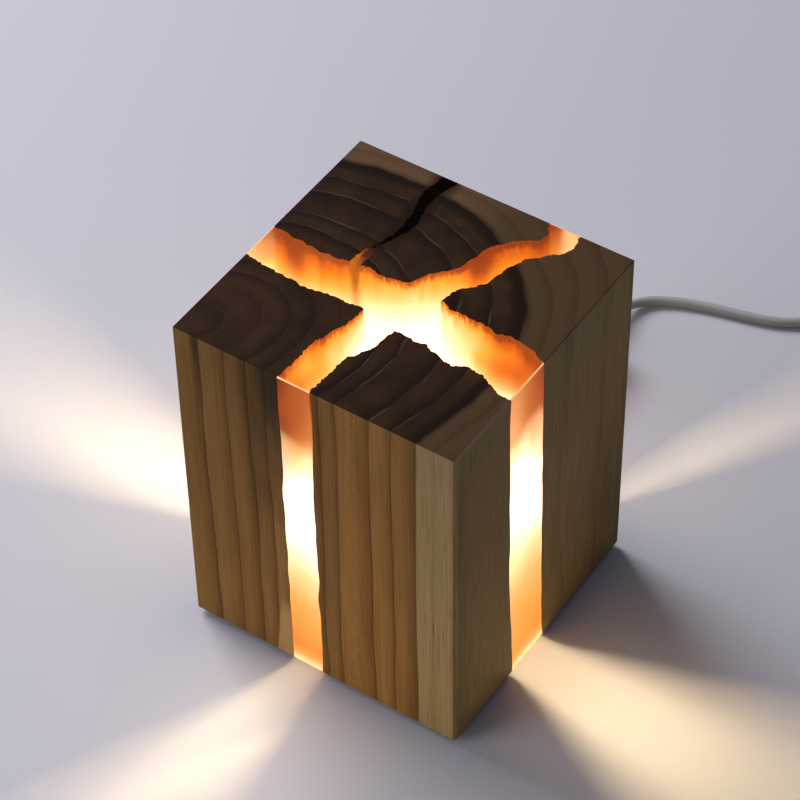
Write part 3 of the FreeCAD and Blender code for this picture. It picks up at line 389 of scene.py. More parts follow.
class Wood(Graph):
    """The block's wood, seen along the trunk on the sides and across it on the top."""

    def __init__(self):
        super().__init__("wood")
        self.place = self.position()
        self.x, self.y, self.z = self.split(self.place)
        self.fibre = self.grain("fibre", self.place)
        self.broad = self.grain("broad", self.place)
        self.pores = self.noise(self.place, *PORE_NOISE)
        self.rings = self.ring_count()
        self.phase = self.math("FRACT", self.rings)
        whole = self.math("FLOOR", self.rings)
        self.own = self.node("ShaderNodeTexWhiteNoise", {"W": whole}, noise_dimensions="1D").outputs[0]

    def ring_count(self):
        """How many rings lie between the pith and a place."""
        dx = self.minus(self.x, PITH_X)
        dy = self.minus(self.y, PITH_Y)
        square = self.add(self.times(dx, dx), self.times(dy, dy))
        skewed = self.minus(square, self.times(dx, dy, PITH_SKEW))
        sway = self.swing(self.grain("sway", self.place), RING_SWAY, WIDE)
        ripple = self.swing(self.grain("ripple", self.place), RING_RIPPLE, WIDE)
        radius = self.add(self.math("SQRT", self.larger(skewed, 0)), self.add(sway, ripple))
        count = len(RING_ENDS)
        knots = [(at / RING_TOP, index / count) for index, at in enumerate([0, *RING_ENDS])]
        return self.times(self.curve(self.math("DIVIDE", radius, RING_TOP), knots), count)

    def sapwood(self):
        sap = self.mix(self.remap(self.broad, *PALE_SAP_SHARE), SAP, PALE_SAP)
        sap = self.mix(self.remap(self.phase, *LATE_SAP_SHARE), sap, LATE_SAP)
        return self.mix(self.remap(self.grain("dash", self.place), *SAP_DASH_SHARE), sap, SAP_DASH)

    def side(self):
        """Bands of early and late wood, with a line between rings, and fibres."""
        side = self.ramp(self.phase, EARLY_TO_LATE)
        side = self.tint(self.remap(self.own, *OWN_SHARE), side, OWN_TONE)
        line = self.larger(self.remap(self.phase, *LINE_BEFORE), self.remap(self.phase, *LINE_AFTER))
        faint = self.remap(self.grain("faint", self.place), *LINE_SHARE)
        side = self.mix(self.times(line, faint), side, RING_LINE)
        side = self.mix(self.remap(self.rings, *SAP_EDGE, smooth=True), side, self.sapwood())
        side = self.tint(self.remap(self.broad, *BROAD_SHARE), side, BROAD_TONE)
        return self.tint(self.remap(self.fibre, *FIBRE_SHARE), side, FIBRE_TONE)

    def marks_and_painted_light(self, side):
        """Lighter and darker parts of the sides, such as a dark patch beside the front crack and its pale
        foot, painted shade low at the back of the right face, and painted light that darkens the tops of the
        sides and lightens their feet.
        """
        x, y, z = self.x, self.y, self.z
        side = self.tint(self.between(x, *LIGHTER_BAND), side, LIGHTER_TONE)
        fleck = self.remap(self.grain("fleck", self.place), *FLECK_SHARE)
        side = self.tint(self.times(fleck, self.between(x, *FLECK_BAND)), side, FLECK_TONE)
        drift = self.swing(self.broad, DRIFT)
        dark_patch = self.remap(self.add(z, self.times(drift, DARK_PATCH_DRIFT)), *DARK_PATCH_Z)
        dark_patch = self.times(self.between(x, *DARK_PATCH_BAND), dark_patch)
        streak = self.off(self.add(x, self.times(drift, STREAK_DRIFT)), STREAK_X)
        streak = self.times(self.remap(streak, *STREAK_WIDTH), self.remap(z, *STREAK_Z))
        side = self.mix(self.larger(dark_patch, streak), side, SIDE_DARK)
        pale = self.remap(self.add(x, self.times(z, PALE_SLOPE)), *PALE_START)
        pale = self.times(pale, self.remap(x, *PALE_END), self.remap(z, *PALE_Z), PALE_SHARE)
        side = self.mix(pale, side, PALE_FOOT)
        # Painted shade low at the back of the right face.
        dim = self.times(self.remap(x, *PAINTED_SHADE_X), self.remap(y, *PAINTED_SHADE_Y), self.remap(z, *PAINTED_SHADE_Z))
        side = self.tint(dim, side, PAINTED_SHADE_TONE)
        # Painted light: the sides darker at the top and lighter at the foot.
        fade = self.mix(self.remap(z, *PAINTED_LIGHT_HEIGHTS), SHADED_TOP_TONE, LIT_FOOT_TONE)
        return self.mix(1.0, side, fade, "MULTIPLY")

    def end_sapwood(self):
        sap = self.mix(self.remap(self.phase, *LATE_END_SAP_SHARE), END_SAP, LATE_END_SAP)
        # Painted sheen towards the back-left corner.
        corner = self.times(self.remap(self.y, *SHEEN_Y), self.remap(self.x, *SHEEN_X))
        return self.tint(corner, sap, SHEEN_TONE)

    def end(self):
        """Dark late wood, pale patches of line between rings, a dark bound, and a stain round the check."""
        phase, rings = self.phase, self.rings
        end = self.mix(self.remap(self.grain("cloud", self.place), *DARK_END_SHARE), END, DARK_END)
        late = self.times(self.between(phase, *LATE_BAND), self.remap(self.own, *LATE_TONE))
        end = self.mix(self.times(late, self.remap(rings, *LATE_RINGS)), end, LATE_END)
        edge = self.larger(self.remap(phase, *EDGE_BEFORE), self.remap(phase, *EDGE_AFTER))
        edge = self.times(edge, self.remap(self.noise(self.place, EDGE_PATCHES), *EDGE_SHARE))
        end = self.mix(self.times(edge, self.remap(rings, *EDGE_RINGS)), end, EDGE)
        end = self.mix(self.remap(self.off(rings, BOUND_AT), *BOUND_WIDTH), end, BOUND)
        end = self.mix(self.remap(rings, *END_SAP_EDGE, smooth=True), end, self.end_sapwood())
        halo = self.add(self.off(self.x, HALO_X), self.swing(self.broad, HALO_DRIFT))
        halo = self.times(self.remap(halo, *HALO_WIDTH), self.remap(self.y, *HALO_Y))
        end = self.mix(halo, end, HALO)
        return self.tint(self.remap(self.pores, *PORE_SHARE), end, PORE_TONE)


def wood_material():
    g = Wood()
    level = g.level()
    top = g.remap(level, *TOP_LEVEL)
    colour = g.mix(top, g.marks_and_painted_light(g.side()), g.end())
    return g.shade(
        # The chamfers take a painted highlight.
        Base_Color=g.mix(g.between(level, *HIGHLIGHT_BAND), colour, g.mix(g.fibre, EDGE_HIGHLIGHT, PALE_EDGE_HIGHLIGHT)),
        Roughness=g.remap(g.fibre, *WOOD_ROUGHNESS),
        Normal=g.bump(g.mix(top, g.fibre, g.pores), WOOD_BUMP, WOOD_BUMP_DEPTH),
        Specular_IOR_Level=0.05,
    )


# Walls of the cracks. Their glow depends on how far a wall is from the luminous column in the light well,
# with the distance made longer or shorter where the photograph shows an arm darker or brighter.
BRIGHTEST = 3.4
GLOW_FAR = 80
GLOW = [
    (0, (2.4, 2.3, 2.8)), (16, (2.0, 1.80, 2.0)), (25, (1.6, 1.30, 1.20)), (34, (1.18, 0.75, 0.43)),
    (43, (0.98, 0.47, 0.080)), (52, (0.81, 0.265, 0.012)), (60, (0.60, 0.115, 0.000)),
    (70, (0.16, 0.022, 0.000)),
]
COLUMN_TOP, COLUMN_LOW = 73, 66
NEAR_COLUMN = (8, 26, 0.70, 1)
SIDE_SHARE, LOW_SHARE, END_RISE = 0.4, 0.5, (0, 30, 0, 0.32)
ARM_ABOVE = (2, 20)
FRONT_SHADE_Y, RIGHT_SHADE_X = (-35, -47, 0, 11), (36, 48, 0, 10)
FRONT_LIFT_BAND, BACK_LIFT_Y = (-8, -18, -34, -44, 9), (9, 15, 0, 5)
RIGHT_LIFT_BAND, RIGHT_LIFT_Y, RIGHT_LIFT_ABOVE = (8, 15, 24, 32, 10), (14, 8), (20, 34)
LIP_LIFT_Y, LIP_HEIGHT = (-32, -40, 0, 17), (110, 120)
FRONT_DEEP_Y, RIGHT_DEEP_BAND, DEEP_BAND = (-18, -30, 0, 20), (20, 30, 40, 45, 26), (6, 14, 26, 40)
FOOT_SHADE_Y, FOOT_HEIGHT = (-30, -46, 0, 8), (55, 25)
STREAKS, FRAY = 5, 3.5
FINE_HEIGHT = (105, 125, 2.5, 3)
FRINGE, FRINGE_Y = (123, 128, 0, 24), (-36, -24, 0.2, 1)
CRUMBS, CRUMB_NOISE, CRUMB_HEIGHT = 6, (0.9, 3, 0.6), (119, 126)
DARKER_X, DARKER_X_WIDTH = -42, (5, 1, 0, 16)
DARKER_Y, DARKER_Y_WIDTH = 27, (7, 2, 0, 22)
MARK_ABOVE = (10, 35)
WALL_COLOUR = (0.30, 0.11, 0.02, 1)


def glow_material():
    """Light on the wall of a crack: white beside the well, and through orange to dark red far from it."""
    g = Graph("crack_wall")
    place = g.position()
    x, y, z = g.split(place)
    dx = g.minus(x, WELL_X / MM)
    dy = g.minus(y, WELL_Y / MM)
    away = g.math("SQRT", g.add(g.times(dx, dx), g.times(dy, dy)))
    height = g.minus(z, BLOCK_LOW.z / MM)
    above = g.times(g.larger(g.minus(height, COLUMN_TOP), 0), g.remap(away, *NEAR_COLUMN))
    below = g.larger(g.minus(COLUMN_LOW, height), 0)
    aside = g.times(away, SIDE_SHARE)
    far = g.math("SQRT", g.add(g.times(aside, aside), g.times(above, above)))
    far = g.add(far, g.times(away, g.remap(above, *END_RISE)), g.times(below, LOW_SHARE))

    mouths = g.add(g.remap(y, *FRONT_SHADE_Y), g.remap(x, *RIGHT_SHADE_X))
    start = g.times(g.between(x, *RIGHT_LIFT_BAND), g.remap(above, *RIGHT_LIFT_ABOVE))
    start = g.times(start, g.remap(y, *RIGHT_LIFT_Y))
    lip = g.times(g.remap(y, *LIP_LIFT_Y), g.remap(height, *LIP_HEIGHT))
    lift = g.add(g.between(y, *FRONT_LIFT_BAND), g.remap(y, *BACK_LIFT_Y), start, lip)
    arms = g.times(g.minus(mouths, lift), g.remap(above, *ARM_ABOVE))
    deep = g.larger(g.remap(y, *FRONT_DEEP_Y), g.between(x, *RIGHT_DEEP_BAND))
    deep = g.times(deep, g.between(above, *DEEP_BAND))
    foot = g.times(g.remap(y, *FOOT_SHADE_Y), g.remap(height, *FOOT_HEIGHT))
    far = g.add(far, arms, deep, foot)

    fine = g.grain("wall_fine", place)
    rough = g.times(g.swing(fine, 1, WIDE), g.remap(height, *FINE_HEIGHT))
    streaks = g.swing(g.grain("wall", place), STREAKS, WIDE)
    fringe = g.remap(g.add(height, g.swing(fine, FRAY, WIDE)), *FRINGE)
    fringe = g.times(fringe, g.remap(y, *FRINGE_Y))
    crumbs = g.swing(g.noise(place, *CRUMB_NOISE), CRUMBS, NARROW)
    crumbs = g.times(crumbs, g.remap(height, *CRUMB_HEIGHT))
    # The glow is darker about x = -42 mm and about y = 27 mm.
    marks = g.add(g.remap(g.off(x, DARKER_X), *DARKER_X_WIDTH), g.remap(g.off(y, DARKER_Y), *DARKER_Y_WIDTH))
    marks = g.times(marks, g.remap(above, *MARK_ABOVE))
    share = g.math("DIVIDE", g.add(far, rough, streaks, fringe, crumbs, marks), GLOW_FAR)
    stops = [(at / GLOW_FAR, tuple(part / BRIGHTEST for part in tone)) for at, tone in GLOW]
    return g.shade(
        Base_Color=WALL_COLOUR,
        Roughness=0.6,
        Specular_IOR_Level=0.0,
        Emission_Color=g.ramp(share, stops),
        Emission_Strength=BRIGHTEST,
    )


CHECK_NOISE, CHECK_FRAY, CHECK_GLOW_Y = (0.5, 3, 0.6), 3, (3, 15, 1, 0)
CHECK_GLOW = [(0, BLACK), (0.6, (0.08, 0.010, 0.0)), (1, (0.60, 0.15, 0.004))]
CHECK_SHADE, PALE_CHECK_SHADE = (0.0015, 0.0010, 0.0008), (0.006, 0.0035, 0.0025)


def check_material():
    """Walls of the drying check: black as painted shade, with an orange glow where it opens into the arm."""
    g = Graph("check_wall")
    place = g.position()
    flecks = g.noise(place, *CHECK_NOISE)
    frayed = g.add(g.split(place)[1], g.swing(flecks, CHECK_FRAY))
    return g.shade(
        Base_Color=g.mix(flecks, CHECK_SHADE, PALE_CHECK_SHADE),
        Roughness=0.8,
        Specular_IOR_Level=0.0,
        Emission_Color=g.ramp(g.remap(frayed, *CHECK_GLOW_Y, smooth=True), CHECK_GLOW),
        Emission_Strength=1,
    )


WELL_HAZE, WELL_COLOUR = 0.2, (0.8, 0.7, 0.5, 1)
WELL_GLOW, PALE_WELL_GLOW = (1.0, 0.86, 0.58), (1.0, 0.92, 0.72)


def core_material():
    """Bright wall of the light well."""
    g = Graph("well_wall")
    return g.shade(
        Base_Color=WELL_COLOUR,
        Roughness=0.5,
        Emission_Color=g.mix(g.noise(g.position(), WELL_HAZE), WELL_GLOW, PALE_WELL_GLOW),
        Emission_Strength=3,
    )


RIM_HAZE, RIM_COLOUR = 0.3, (0.5, 0.25, 0.08, 1)
RIM_GLOW, PALE_RIM_GLOW, RIM_FOOT_GLOW = (0.95, 0.50, 0.17), (1.0, 0.62, 0.28), (1.0, 0.80, 0.42)
RIM_FOOT_Z, RIM_STRENGTH = (3, 5, 1, 0), (0, 1, 0.7, 1.6)


def rim_material():
    """Rounded outer edges of the cast, which gather the light, most at their foot."""
    g = Graph("resin_rim")
    place = g.position()
    foot = g.remap(g.split(place)[2], *RIM_FOOT_Z)
    glow = g.mix(g.noise(place, RIM_HAZE), RIM_GLOW, PALE_RIM_GLOW)
    return g.shade(
        Base_Color=RIM_COLOUR,
        Roughness=0.4,
        Emission_Color=g.mix(foot, glow, RIM_FOOT_GLOW),
        Emission_Strength=g.remap(foot, *RIM_STRENGTH),
    )


# Outer faces of the cast. The frost's glow goes by height, brightest beside the light well.
FROST_TOP = 135
FROST = [
    (3, (1.10, 0.80, 0.42)), (6, (0.70, 0.33, 0.10)), (10, (0.42, 0.16, 0.030)), (30, (0.46, 0.19, 0.050)),
    (46, (0.62, 0.36, 0.16)), (60, (0.95, 0.86, 0.72)), (88, (0.95, 0.86, 0.72)), (98, (0.72, 0.48, 0.22)),
    (107, (0.19, 0.050, 0.006)), (131, (0.08, 0.014, 0.001)),
]
FROST_SWAY, FROST_SWAY_Z, FROST_TILT_X = 6, (8, 30), (30, 48, 0, -8)
FROST_BACK_Y = (40, 46, 0, 0.65)
UPRIGHT_LEVEL, RESIN_ROUGHNESS = (0.6, 0.4), (0.4, 0.6, 0.5, 0.3)
SATIN_NOISE, SATIN = (0.12, 3), 0.05
# Tints: amber on top; on the sides darker towards the top as painted shade, less so on the right.
TOP_RESIN, LOW_RESIN, HIGH_RESIN_Z = (1.0, 0.82, 0.26), (0.30, 0.20, 0.06), (98, 112)
SHADED_HIGH_RESIN, SHADED_RIGHT_HIGH_RESIN, RIGHT_RESIN_X = (0.10, 0.030, 0.004), (0.18, 0.075, 0.012), (20, 40)
RESIN_GLINT = (0.35, 0.20, 0.05, 1)


def clear_material():
    """Sanded faces of the cast: clear on top, and frosted on the sides, where they take up the glow."""
    g = Graph("resin_clear")
    place = g.position()
    x, y, z = g.split(place)
    level = g.level()
    upright = g.remap(level, *UPRIGHT_LEVEL)
    satin = g.swing(g.noise(place, *SATIN_NOISE), SATIN)
    sway = g.add(g.swing(g.grain("frost", place), FROST_SWAY), g.remap(x, *FROST_TILT_X))
    share = g.math("DIVIDE", g.add(z, g.times(sway, g.remap(z, *FROST_SWAY_Z))), FROST_TOP)
    frost = g.ramp(share, [(at / FROST_TOP, colour) for at, colour in FROST])
    frost = g.mix(g.remap(y, *FROST_BACK_Y), frost, BLACK)
    # Painted shade: the sides' tint darkens towards the top, less on the right.
    high = g.mix(g.remap(x, *RIGHT_RESIN_X), SHADED_HIGH_RESIN, SHADED_RIGHT_HIGH_RESIN)
    sides = g.mix(g.remap(z, *HIGH_RESIN_Z, smooth=True), LOW_RESIN, high)
    return g.shade(
        Base_Color=g.mix(upright, TOP_RESIN, sides),
        Emission_Color=g.mix(upright, BLACK, frost),
        Emission_Strength=1,
        Transmission_Weight=1.0,
        IOR=1.5,
        Specular_IOR_Level=0.2,
        Specular_Tint=RESIN_GLINT,
        Roughness=g.add(g.remap(level, *RESIN_ROUGHNESS), satin),
    )


# The block: copies of its CAD pieces with rounded outer edges and ragged cracks. A face's kind is also the
# place of its material on the resin.
CLEAR, WALL, CHECK, CORE, RIM, RECESS = range(6)
RAGGED = (WALL, CHECK)
EDGE_ROUND, CHAMFER = 0.4 * MM, 0.9 * MM
LEVEL, TOOTH = 3.2 * MM, 0.45 * MM
HALF_X, HALF_Y = BLOCK_HIGH.x, BLOCK_HIGH.y
NEAR, MERGE = 0.01 * MM, 0.001 * MM
FLAT_ANGLE, SHARP_ANGLE = math.radians(0.5), 1
LEVEL_NORMAL, SQUARE_NORMAL, NORMAL_DIGITS = 0.9, 0.97, 4
CHECK_DEPTH = 45 * MM
CHECK_FLOOR = BLOCK_HIGH.z - CHECK_DEPTH
CHECK_MOUTH = 11 * MM
CHECK_CLOSE = 0.85
CHECK_LINE = [
    Vector(point) * MM for point in [
        (-19.7, -2), (-20, 5.5), (-18.2, 13.6), (-15.8, 20.3), (-15.5, 27.7), (-17.2, 34.4), (-17.5, 40.6),
        (-15.8, 51.5),
    ]
]
WELL_FLOOR = 22 * MM
LEAN, LEAN_FROM, LEAN_REACH = 4.2 * MM, 36 * MM, 25 * MM
RESIN_INSET = 0.12 * MM
# Three sizes of tooth: height in millimetres, noise scales across and along the height, shifts in x and y.
TEETH = [(0.7, 0.3, 0.03, 0, 0), (0.4, 0.9, 0.08, 40, 0), (0.32, 1.9, 0.12, 0, 80)]


def on_outside(point):
    return (
        abs(point.x) > HALF_X - NEAR or abs(point.y) > HALF_Y - NEAR
        or point.z > BLOCK_HIGH.z - NEAR or point.z < BLOCK_LOW.z + NEAR
    )


def face_kind(face):
    """Which part of the cast a face is: outside, wall of a crack, wall of the check, or well and recess."""
    centre = face.calc_center_median()
    if all(on_outside(vert.co) for vert in face.verts) and on_outside(centre):
        return CLEAR
    highest = max(vert.co.z for vert in face.verts)
    lowest = min(vert.co.z for vert in face.verts)
    if abs(lowest - CHECK_FLOOR) < NEAR:
        return CHECK
    if highest < WELL_FLOOR + NEAR:
        return RECESS
    return CORE if highest < BLOCK_HIGH.z - NEAR else WALL


def tooth(point):
    """How far a crack's wall is shifted: ragged from place to place, and slow to change with height."""
    x, y, z = point / MM
    total = 0
    for size, across, along, shift_x, shift_y in TEETH:
        total += size * noise.noise(Vector((across * x + shift_x, across * y + shift_y, along * z)))
    return total * MM


def closed(point):
    """How far a wall of the check leans in towards its middle line, which it meets near its floor."""
    flat = point.xy
    spots = []
    for start, end in zip(CHECK_LINE, CHECK_LINE[1:]):
        nearest, share = geometry.intersect_point_line(flat, start, end)
        spots.append(start if share < 0 else end if share > 1 else nearest.xy)
    spot = min(spots, key=lambda place: (place - flat).length)
    depth = (BLOCK_HIGH.z - point.z) / CHECK_DEPTH
    return ((spot - flat) * CHECK_CLOSE * min(max(depth, 0), 1)).to_3d()


def lean(point):
    """How far the right crack's wall lies to the back: most at the foot of the outer face."""
    if point.x < LEAN_FROM or abs(point.y) > LEAN_REACH:
        return Vector()
    out = (point.x - LEAN_FROM) / (HALF_X - LEAN_FROM)
    down = (BLOCK_HIGH.z - point.z) / (BLOCK_HIGH.z - BLOCK_LOW.z)
    return Vector((0, LEAN * ease(out) * down * down, 0))


def split_edge(edge, count):
    """Extra points along an edge, so that it has count equal lengths."""
    near, far = edge.verts
    for left in range(count, 1, -1):
        near = bmesh.utils.edge_split(edge, near, 1 / left)[1]
        edge = next(link for link in near.link_edges if far in link.verts)


def round_edges(mesh, chamfer):
    """Round the outer edges. With chamfer, the upper and front edges of the right face are worn first."""
    outer = [
        edge for edge in mesh.edges
        if len(edge.link_faces) == 2
        and all(face.material_index == CLEAR for face in edge.link_faces)
        and edge.calc_face_angle() > SHARP_ANGLE
    ]
    if chamfer:
        worn = [
            edge for edge in outer
            if all(vert.co.x > HALF_X - NEAR for vert in edge.verts)
            and (
                all(vert.co.z > BLOCK_HIGH.z - NEAR for vert in edge.verts)
                or all(vert.co.y < NEAR - HALF_Y for vert in edge.verts)
            )
        ]
        bmesh.ops.bevel(mesh, geom=worn, offset=CHAMFER, segments=1, profile=0.5, affect="EDGES")
        outer = [edge for edge in outer if edge.is_valid]
    bmesh.ops.bevel(mesh, geom=outer, offset=EDGE_ROUND, segments=2, profile=0.5, affect="EDGES")


def cut(mesh, things, at, normal):
    bmesh.ops.bisect_plane(mesh, geom=things, plane_co=at, plane_no=normal, dist=MERGE)


def divide_walls(mesh):
    """Cut a piece at even heights and at the check's mouth, and make small triangles of its ragged walls."""
    height = BLOCK_LOW.z + LEVEL
    while height < BLOCK_HIGH.z - LEVEL / 2:
        cut(mesh, [*mesh.verts, *mesh.edges, *mesh.faces], (0, 0, height), (0, 0, 1))
        height += LEVEL
    lid = [face for face in mesh.faces if face.material_index == CLEAR and face.normal.z > LEVEL_NORMAL]
    rim = dict.fromkeys(edge for face in lid for edge in face.edges)
    corners = dict.fromkeys(vert for face in lid for vert in face.verts)
    cut(mesh, [*corners, *rim, *lid], (0, CHECK_MOUTH, 0), (0, 1, 0))
    for edge in list(mesh.edges):
        start, end = edge.verts[0].co, edge.verts[1].co
        if abs(start.z - end.z) < NEAR and any(face.material_index in RAGGED for face in edge.link_faces):
            split_edge(edge, math.ceil((start - end).length / TOOTH))
    mesh.normal_update()
    walls = [face for face in mesh.faces if face.material_index in RAGGED]
    bmesh.ops.triangulate(mesh, faces=walls, quad_method="BEAUTY", ngon_method="BEAUTY")


def point_normals(mesh, kinds, level=False):
    """The different normals, level ones if asked, of the faces of some kinds that meet at each point."""
    found = {}
    for face in mesh.faces:
        if face.material_index in kinds:
            normal = face.normal.xy.to_3d() if level else face.normal
            rounded = tuple(round(part, NORMAL_DIGITS) for part in normal)
            for vert in face.verts:
                found.setdefault(vert, set()).add(rounded)
    return found


def mean_normal(normals):
    return sum((Vector(normal) for normal in sorted(normals)), Vector()).normalized()


def shift_walls(mesh, side, inset):
    """Make the crack walls ragged, and draw them and the walls of the recess in by the inset."""
    walls = point_normals(mesh, RAGGED, level=True)
    recess = point_normals(mesh, (RECESS,))
    check = {vert for face in mesh.faces if face.material_index == CHECK for vert in face.verts}
    for vert, normals in walls.items():
        shift = mean_normal(normals) * (side * tooth(vert.co) - inset) + lean(vert.co)
        if vert in check:
            shift += closed(vert.co)
        if abs(vert.co.x) > HALF_X - EDGE_ROUND - NEAR:
            shift.x = 0
        if abs(vert.co.y) > HALF_Y - EDGE_ROUND - NEAR:
            shift.y = 0
        vert.co += shift
    for vert, normals in recess.items():
        if not on_outside(vert.co):
            vert.co -= mean_normal(normals) * inset
    mesh.normal_update()


def sort_faces(mesh):
    """Give each face the kind that it shows at last, and divide those with many corners."""
    for face in mesh.faces:
        middle = face.calc_center_median()
        clear = face.material_index == CLEAR
        at_check = middle.x < 0 and middle.y > CHECK_MOUTH and middle.z > CHECK_FLOOR
        # The resin's top over the check takes the black check wall, as painted shade.
        if clear and at_check:
            face.material_index = CHECK
        elif clear and max(abs(part) for part in face.normal) < SQUARE_NORMAL:
            face.material_index = RIM
        elif face.material_index == RECESS or clear and face.normal.z < -LEVEL_NORMAL:
            face.material_index = WALL
    flat = [face for face in mesh.faces if len(face.verts) > 4]
    bmesh.ops.triangulate(mesh, faces=flat, quad_method="BEAUTY", ngon_method="EAR_CLIP")


def block_piece(node, side, chamfer=False, inset=0.0):
    """A copy of a piece of the block, with rounded outer edges and ragged crack walls."""
    mesh = bmesh.new()
    mesh.from_mesh(nodes[node].data)
    bmesh.ops.remove_doubles(mesh, verts=mesh.verts, dist=MERGE)
    bmesh.ops.dissolve_limit(mesh, angle_limit=FLAT_ANGLE, verts=mesh.verts, edges=mesh.edges)
    for face in mesh.faces:
        face.material_index = face_kind(face)
    round_edges(mesh, chamfer)
    divide_walls(mesh)
    shift_walls(mesh, side, inset)
    sort_faces(mesh)
    data = bpy.data.meshes.new(node + "_looks")
    mesh.to_mesh(data)
    mesh.free()
    thing = new_object(node + "_looks", data)
    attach(thing, LAMP)
    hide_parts(node)
    return thing


wood = wood_material()
quarters = []
for label in ("front", "left", "back", "right"):
    piece = block_piece(f"wood_quarter_{label}", 1, chamfer=label == "front")
    for face in piece.data.polygons:
        face.material_index = 0
    piece.data.materials.append(wood)
    quarters.append(piece)
resin = block_piece("resin_cross", -1, inset=RESIN_INSET)
for made in (clear_material(), glow_material(), check_material(), core_material(), rim_material()):
    resin.data.materials.append(made)

# Finishes of the other pieces: colour, roughness, and 1 for metal.
FINISHES = {
    "cover": ((0.03, 0.03, 0.03), 0.6, 0),
    "steel": ((0.55, 0.55, 0.57), 0.35, 1),
    "pads": ((0.03, 0.03, 0.03), 0.8, 0),
    "cup": ((0.8, 0.8, 0.78), 0.5, 0),
    "board": ((0.75, 0.76, 0.76), 0.4, 0),
    "led": ((0.85, 0.65, 0.2), 0.3, 0),
    "resistor": ((0.02, 0.02, 0.02), 0.5, 0),
    "lead_black": ((0.02, 0.02, 0.02), 0.5, 0),
    "lead_red": ((0.45, 0.03, 0.02), 0.5, 0),
    "switch_lead": ((0.6, 0.6, 0.57), 0.5, 0),
    "solder": ((0.62, 0.62, 0.63), 0.25, 1),
    "diffuser": ((0.88, 0.85, 0.78), 0.5, 0),
    "cord": ((0.36, 0.35, 0.35), 0.45, 0),
    "relief": ((0.60, 0.58, 0.54), 0.5, 0),
    "tie": ((0.62, 0.62, 0.60), 0.55, 0),
    "switch_case": ((0.68, 0.66, 0.62), 0.32, 0),
    "rocker": ((0.62, 0.60, 0.56), 0.28, 0),
    "brass": ((0.72, 0.52, 0.2), 0.3, 1),
    "plug": ((0.66, 0.64, 0.60), 0.35, 0),
    "plug_shell": ((0.68, 0.68, 0.70), 0.22, 1),
    "tongue": ((0.8, 0.8, 0.8), 0.35, 0),
}
MOTTLE_NOISE, MOTTLE_DARK, MOTTLE_RANGE, MOTTLE_ROUGH = (0.35, 3), 0.95, (0.3, 0.7), 0.06
SPECKLE_NOISE, SPECKLE_BUMP, SPECKLE_DEPTH = (3, 3, 0.6), 0.12, 0.1 * MM


def plain_material(name, colour, rough, metal):
    """Moulded plastic, rubber or metal: a slight mottle in colour and gloss, and a fine grain."""
    g = Graph(name)
    place = g.position()
    mottle = g.noise(place, *MOTTLE_NOISE)
    darker = tuple(MOTTLE_DARK * part for part in colour)
    return g.shade(
        Base_Color=g.mix(mottle, darker, colour),
        Roughness=g.remap(mottle, *MOTTLE_RANGE, rough - MOTTLE_ROUGH, rough + MOTTLE_ROUGH),
        Metallic=metal,
        Normal=g.bump(g.noise(place, *SPECKLE_NOISE), SPECKLE_BUMP, SPECKLE_DEPTH),
    )


finishes = {slot: plain_material(slot, *look) for slot, look in FINISHES.items()}
for entry in frame["record"]["subparts"]:
    if entry["material_slot"] in finishes:
        data = nodes[entry["node"]].data
        data.materials.clear()
        data.materials.append(finishes[entry["material_slot"]])
for flex in (flex_lamp, flex_main):
    flex.data.materials.append(finishes["cord"])

# Floor and light. A studio light has a place, a target, a size, a power and a colour. The lamp's own light
# on the floor comes from lights in the well, whose heights are in millimetres, and from a weak one before
# each slot, with its place, the way it faces and its power.
FLOOR_SIZE = 6
FLOOR_TONE, PALE_FLOOR_TONE, FLOOR_NOISE = (0.50, 0.50, 0.60), (0.54, 0.54, 0.63), 0.004
DIM_SKY, SEEN_SKY = (0.10, 0.105, 0.125, 1), (0.42, 0.42, 0.49, 1)
STUDIO_LIGHTS = {
    "key": ((-1.3, 0.35, 1.25), (0, 0, 0.05), (1.0, 1.0), 30, (1.0, 0.98, 0.96)),
    "fill": ((-0.9, -1.2, 0.6), (0, 0, 0.06), (0.9, 0.9), 12, (1.0, 0.97, 0.93)),
}
WARM = (1.0, 0.76, 0.38)
WELL_LIGHT_HEIGHTS = (34, 46, 60)
WELL_LIGHT_POWER, WELL_LIGHT_RADIUS = 2.7, 26 * MM
SLOT_GLOWS = {
    "front": (-5, -52, 0, -1, 0.028),
    "right": (52, 3, 1, 0, 0.010),
    "left": (-52, -2, -1, 0, 0.035),
    "back": (28, 52, 0, 1, 0.020),
}
SLOT_GLOW_HEIGHT, SLOT_GLOW_SIZE = 64, (8 * MM, 55 * MM)


def floor_plane():
    half = FLOOR_SIZE / 2
    corners = [(-half, -half, 0), (half, -half, 0), (half, half, 0), (-half, half, 0)]
    data = bpy.data.meshes.new("floor")
    data.from_pydata(corners, [], [(0, 1, 2, 3)])
    thing = new_object("floor", data)
    g = Graph("floor")
    tone = g.mix(g.noise(g.position(), FLOOR_NOISE), FLOOR_TONE, PALE_FLOOR_TONE)
    data.materials.append(g.shade(Base_Color=tone, Roughness=0.75))
    return thing


def area_light(name, at, target, size, power, colour):
    data = bpy.data.lights.new(name, "AREA")
    data.shape = "RECTANGLE"
    data.size, data.size_y = size
    data.energy = power
    data.color = colour
    thing = new_object(name, data)
    aim = Vector(target) - Vector(at)
    thing.location = at
    thing.rotation_euler = aim.to_track_quat("-Z", "Y").to_euler()
    return thing


def group(name, things):
    made = bpy.data.collections.new(name)
    for thing in things:
        made.objects.link(thing)
    return made


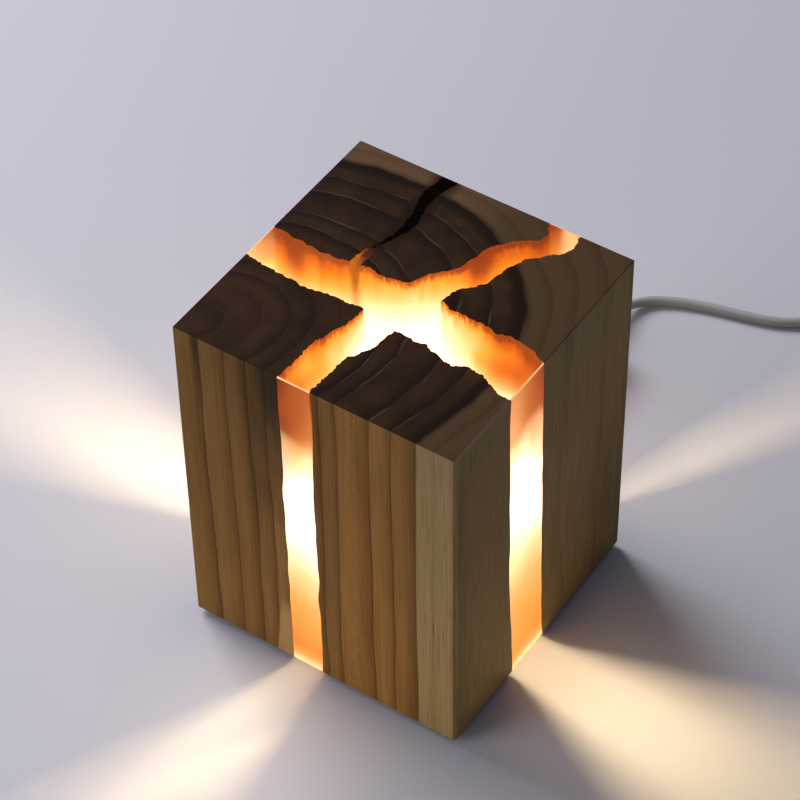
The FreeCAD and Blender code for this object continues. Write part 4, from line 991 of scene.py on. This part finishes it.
def floor_only(thing, lit, blockers):
    """Keep a light to the floor, in the shadow of the pieces round the well."""
    thing.visible_camera = thing.visible_glossy = thing.visible_transmission = False
    thing.light_linking.receiver_collection = lit
    thing.light_linking.blocker_collection = blockers


def well_light(height, lit, blockers):
    """Light of the well that leaves by the cracks: it falls on the floor between the pieces of wood."""
    data = bpy.data.lights.new(f"well_{height}", "POINT")
    data.energy = WELL_LIGHT_POWER
    data.color = WARM
    data.shadow_soft_size = WELL_LIGHT_RADIUS
    thing = new_object(f"well_{height}", data)
    thing.location = (WELL_X, WELL_Y, height * MM)
    floor_only(thing, lit, blockers)


def slot_glow(label, lit, blockers):
    """Light that the frosted end of a crack spreads on the floor before it."""
    x, y, way_x, way_y, power = SLOT_GLOWS[label]
    at = Vector((x, y, SLOT_GLOW_HEIGHT)) * MM
    target = at + Vector((way_x, way_y, 0))
    floor_only(area_light(f"slot_{label}", at, target, SLOT_GLOW_SIZE, power, WARM), lit, blockers)


def world_light():
    """A dim sky as light, and a paler one where it is seen, straight or in gloss and resin."""
    world = bpy.data.worlds.new("studio")
    scene.world = world
    world.use_nodes = True
    tree = world.node_tree
    path = tree.nodes.new("ShaderNodeLightPath")
    seen = path.outputs["Is Camera Ray"]
    for kind in ("Is Glossy Ray", "Is Transmission Ray"):
        both = tree.nodes.new("ShaderNodeMath")
        both.operation = "MAXIMUM"
        tree.links.new(seen, both.inputs[0])
        tree.links.new(path.outputs[kind], both.inputs[1])
        seen = both.outputs[0]
    mix = tree.nodes.new("ShaderNodeMix")
    mix.data_type = "RGBA"
    mix.inputs[MIX_A].default_value = DIM_SKY
    mix.inputs[MIX_B].default_value = SEEN_SKY
    tree.links.new(seen, mix.inputs[MIX_SHARE])
    tree.links.new(mix.outputs[MIX_RESULT], tree.nodes["Background"].inputs["Color"])


floor = floor_plane()
world_light()
for name, setting in STUDIO_LIGHTS.items():
    area_light(name, *setting)
lit = group("lit_by_well", [floor])
blockers = group("round_the_well", [*quarters, nodes["led_cup"], nodes["base_cover"]])
for height in WELL_LIGHT_HEIGHTS:
    well_light(height, lit, blockers)
for label in SLOT_GLOWS:
    slot_glow(label, lit, blockers)

bpy.context.view_layer.update()
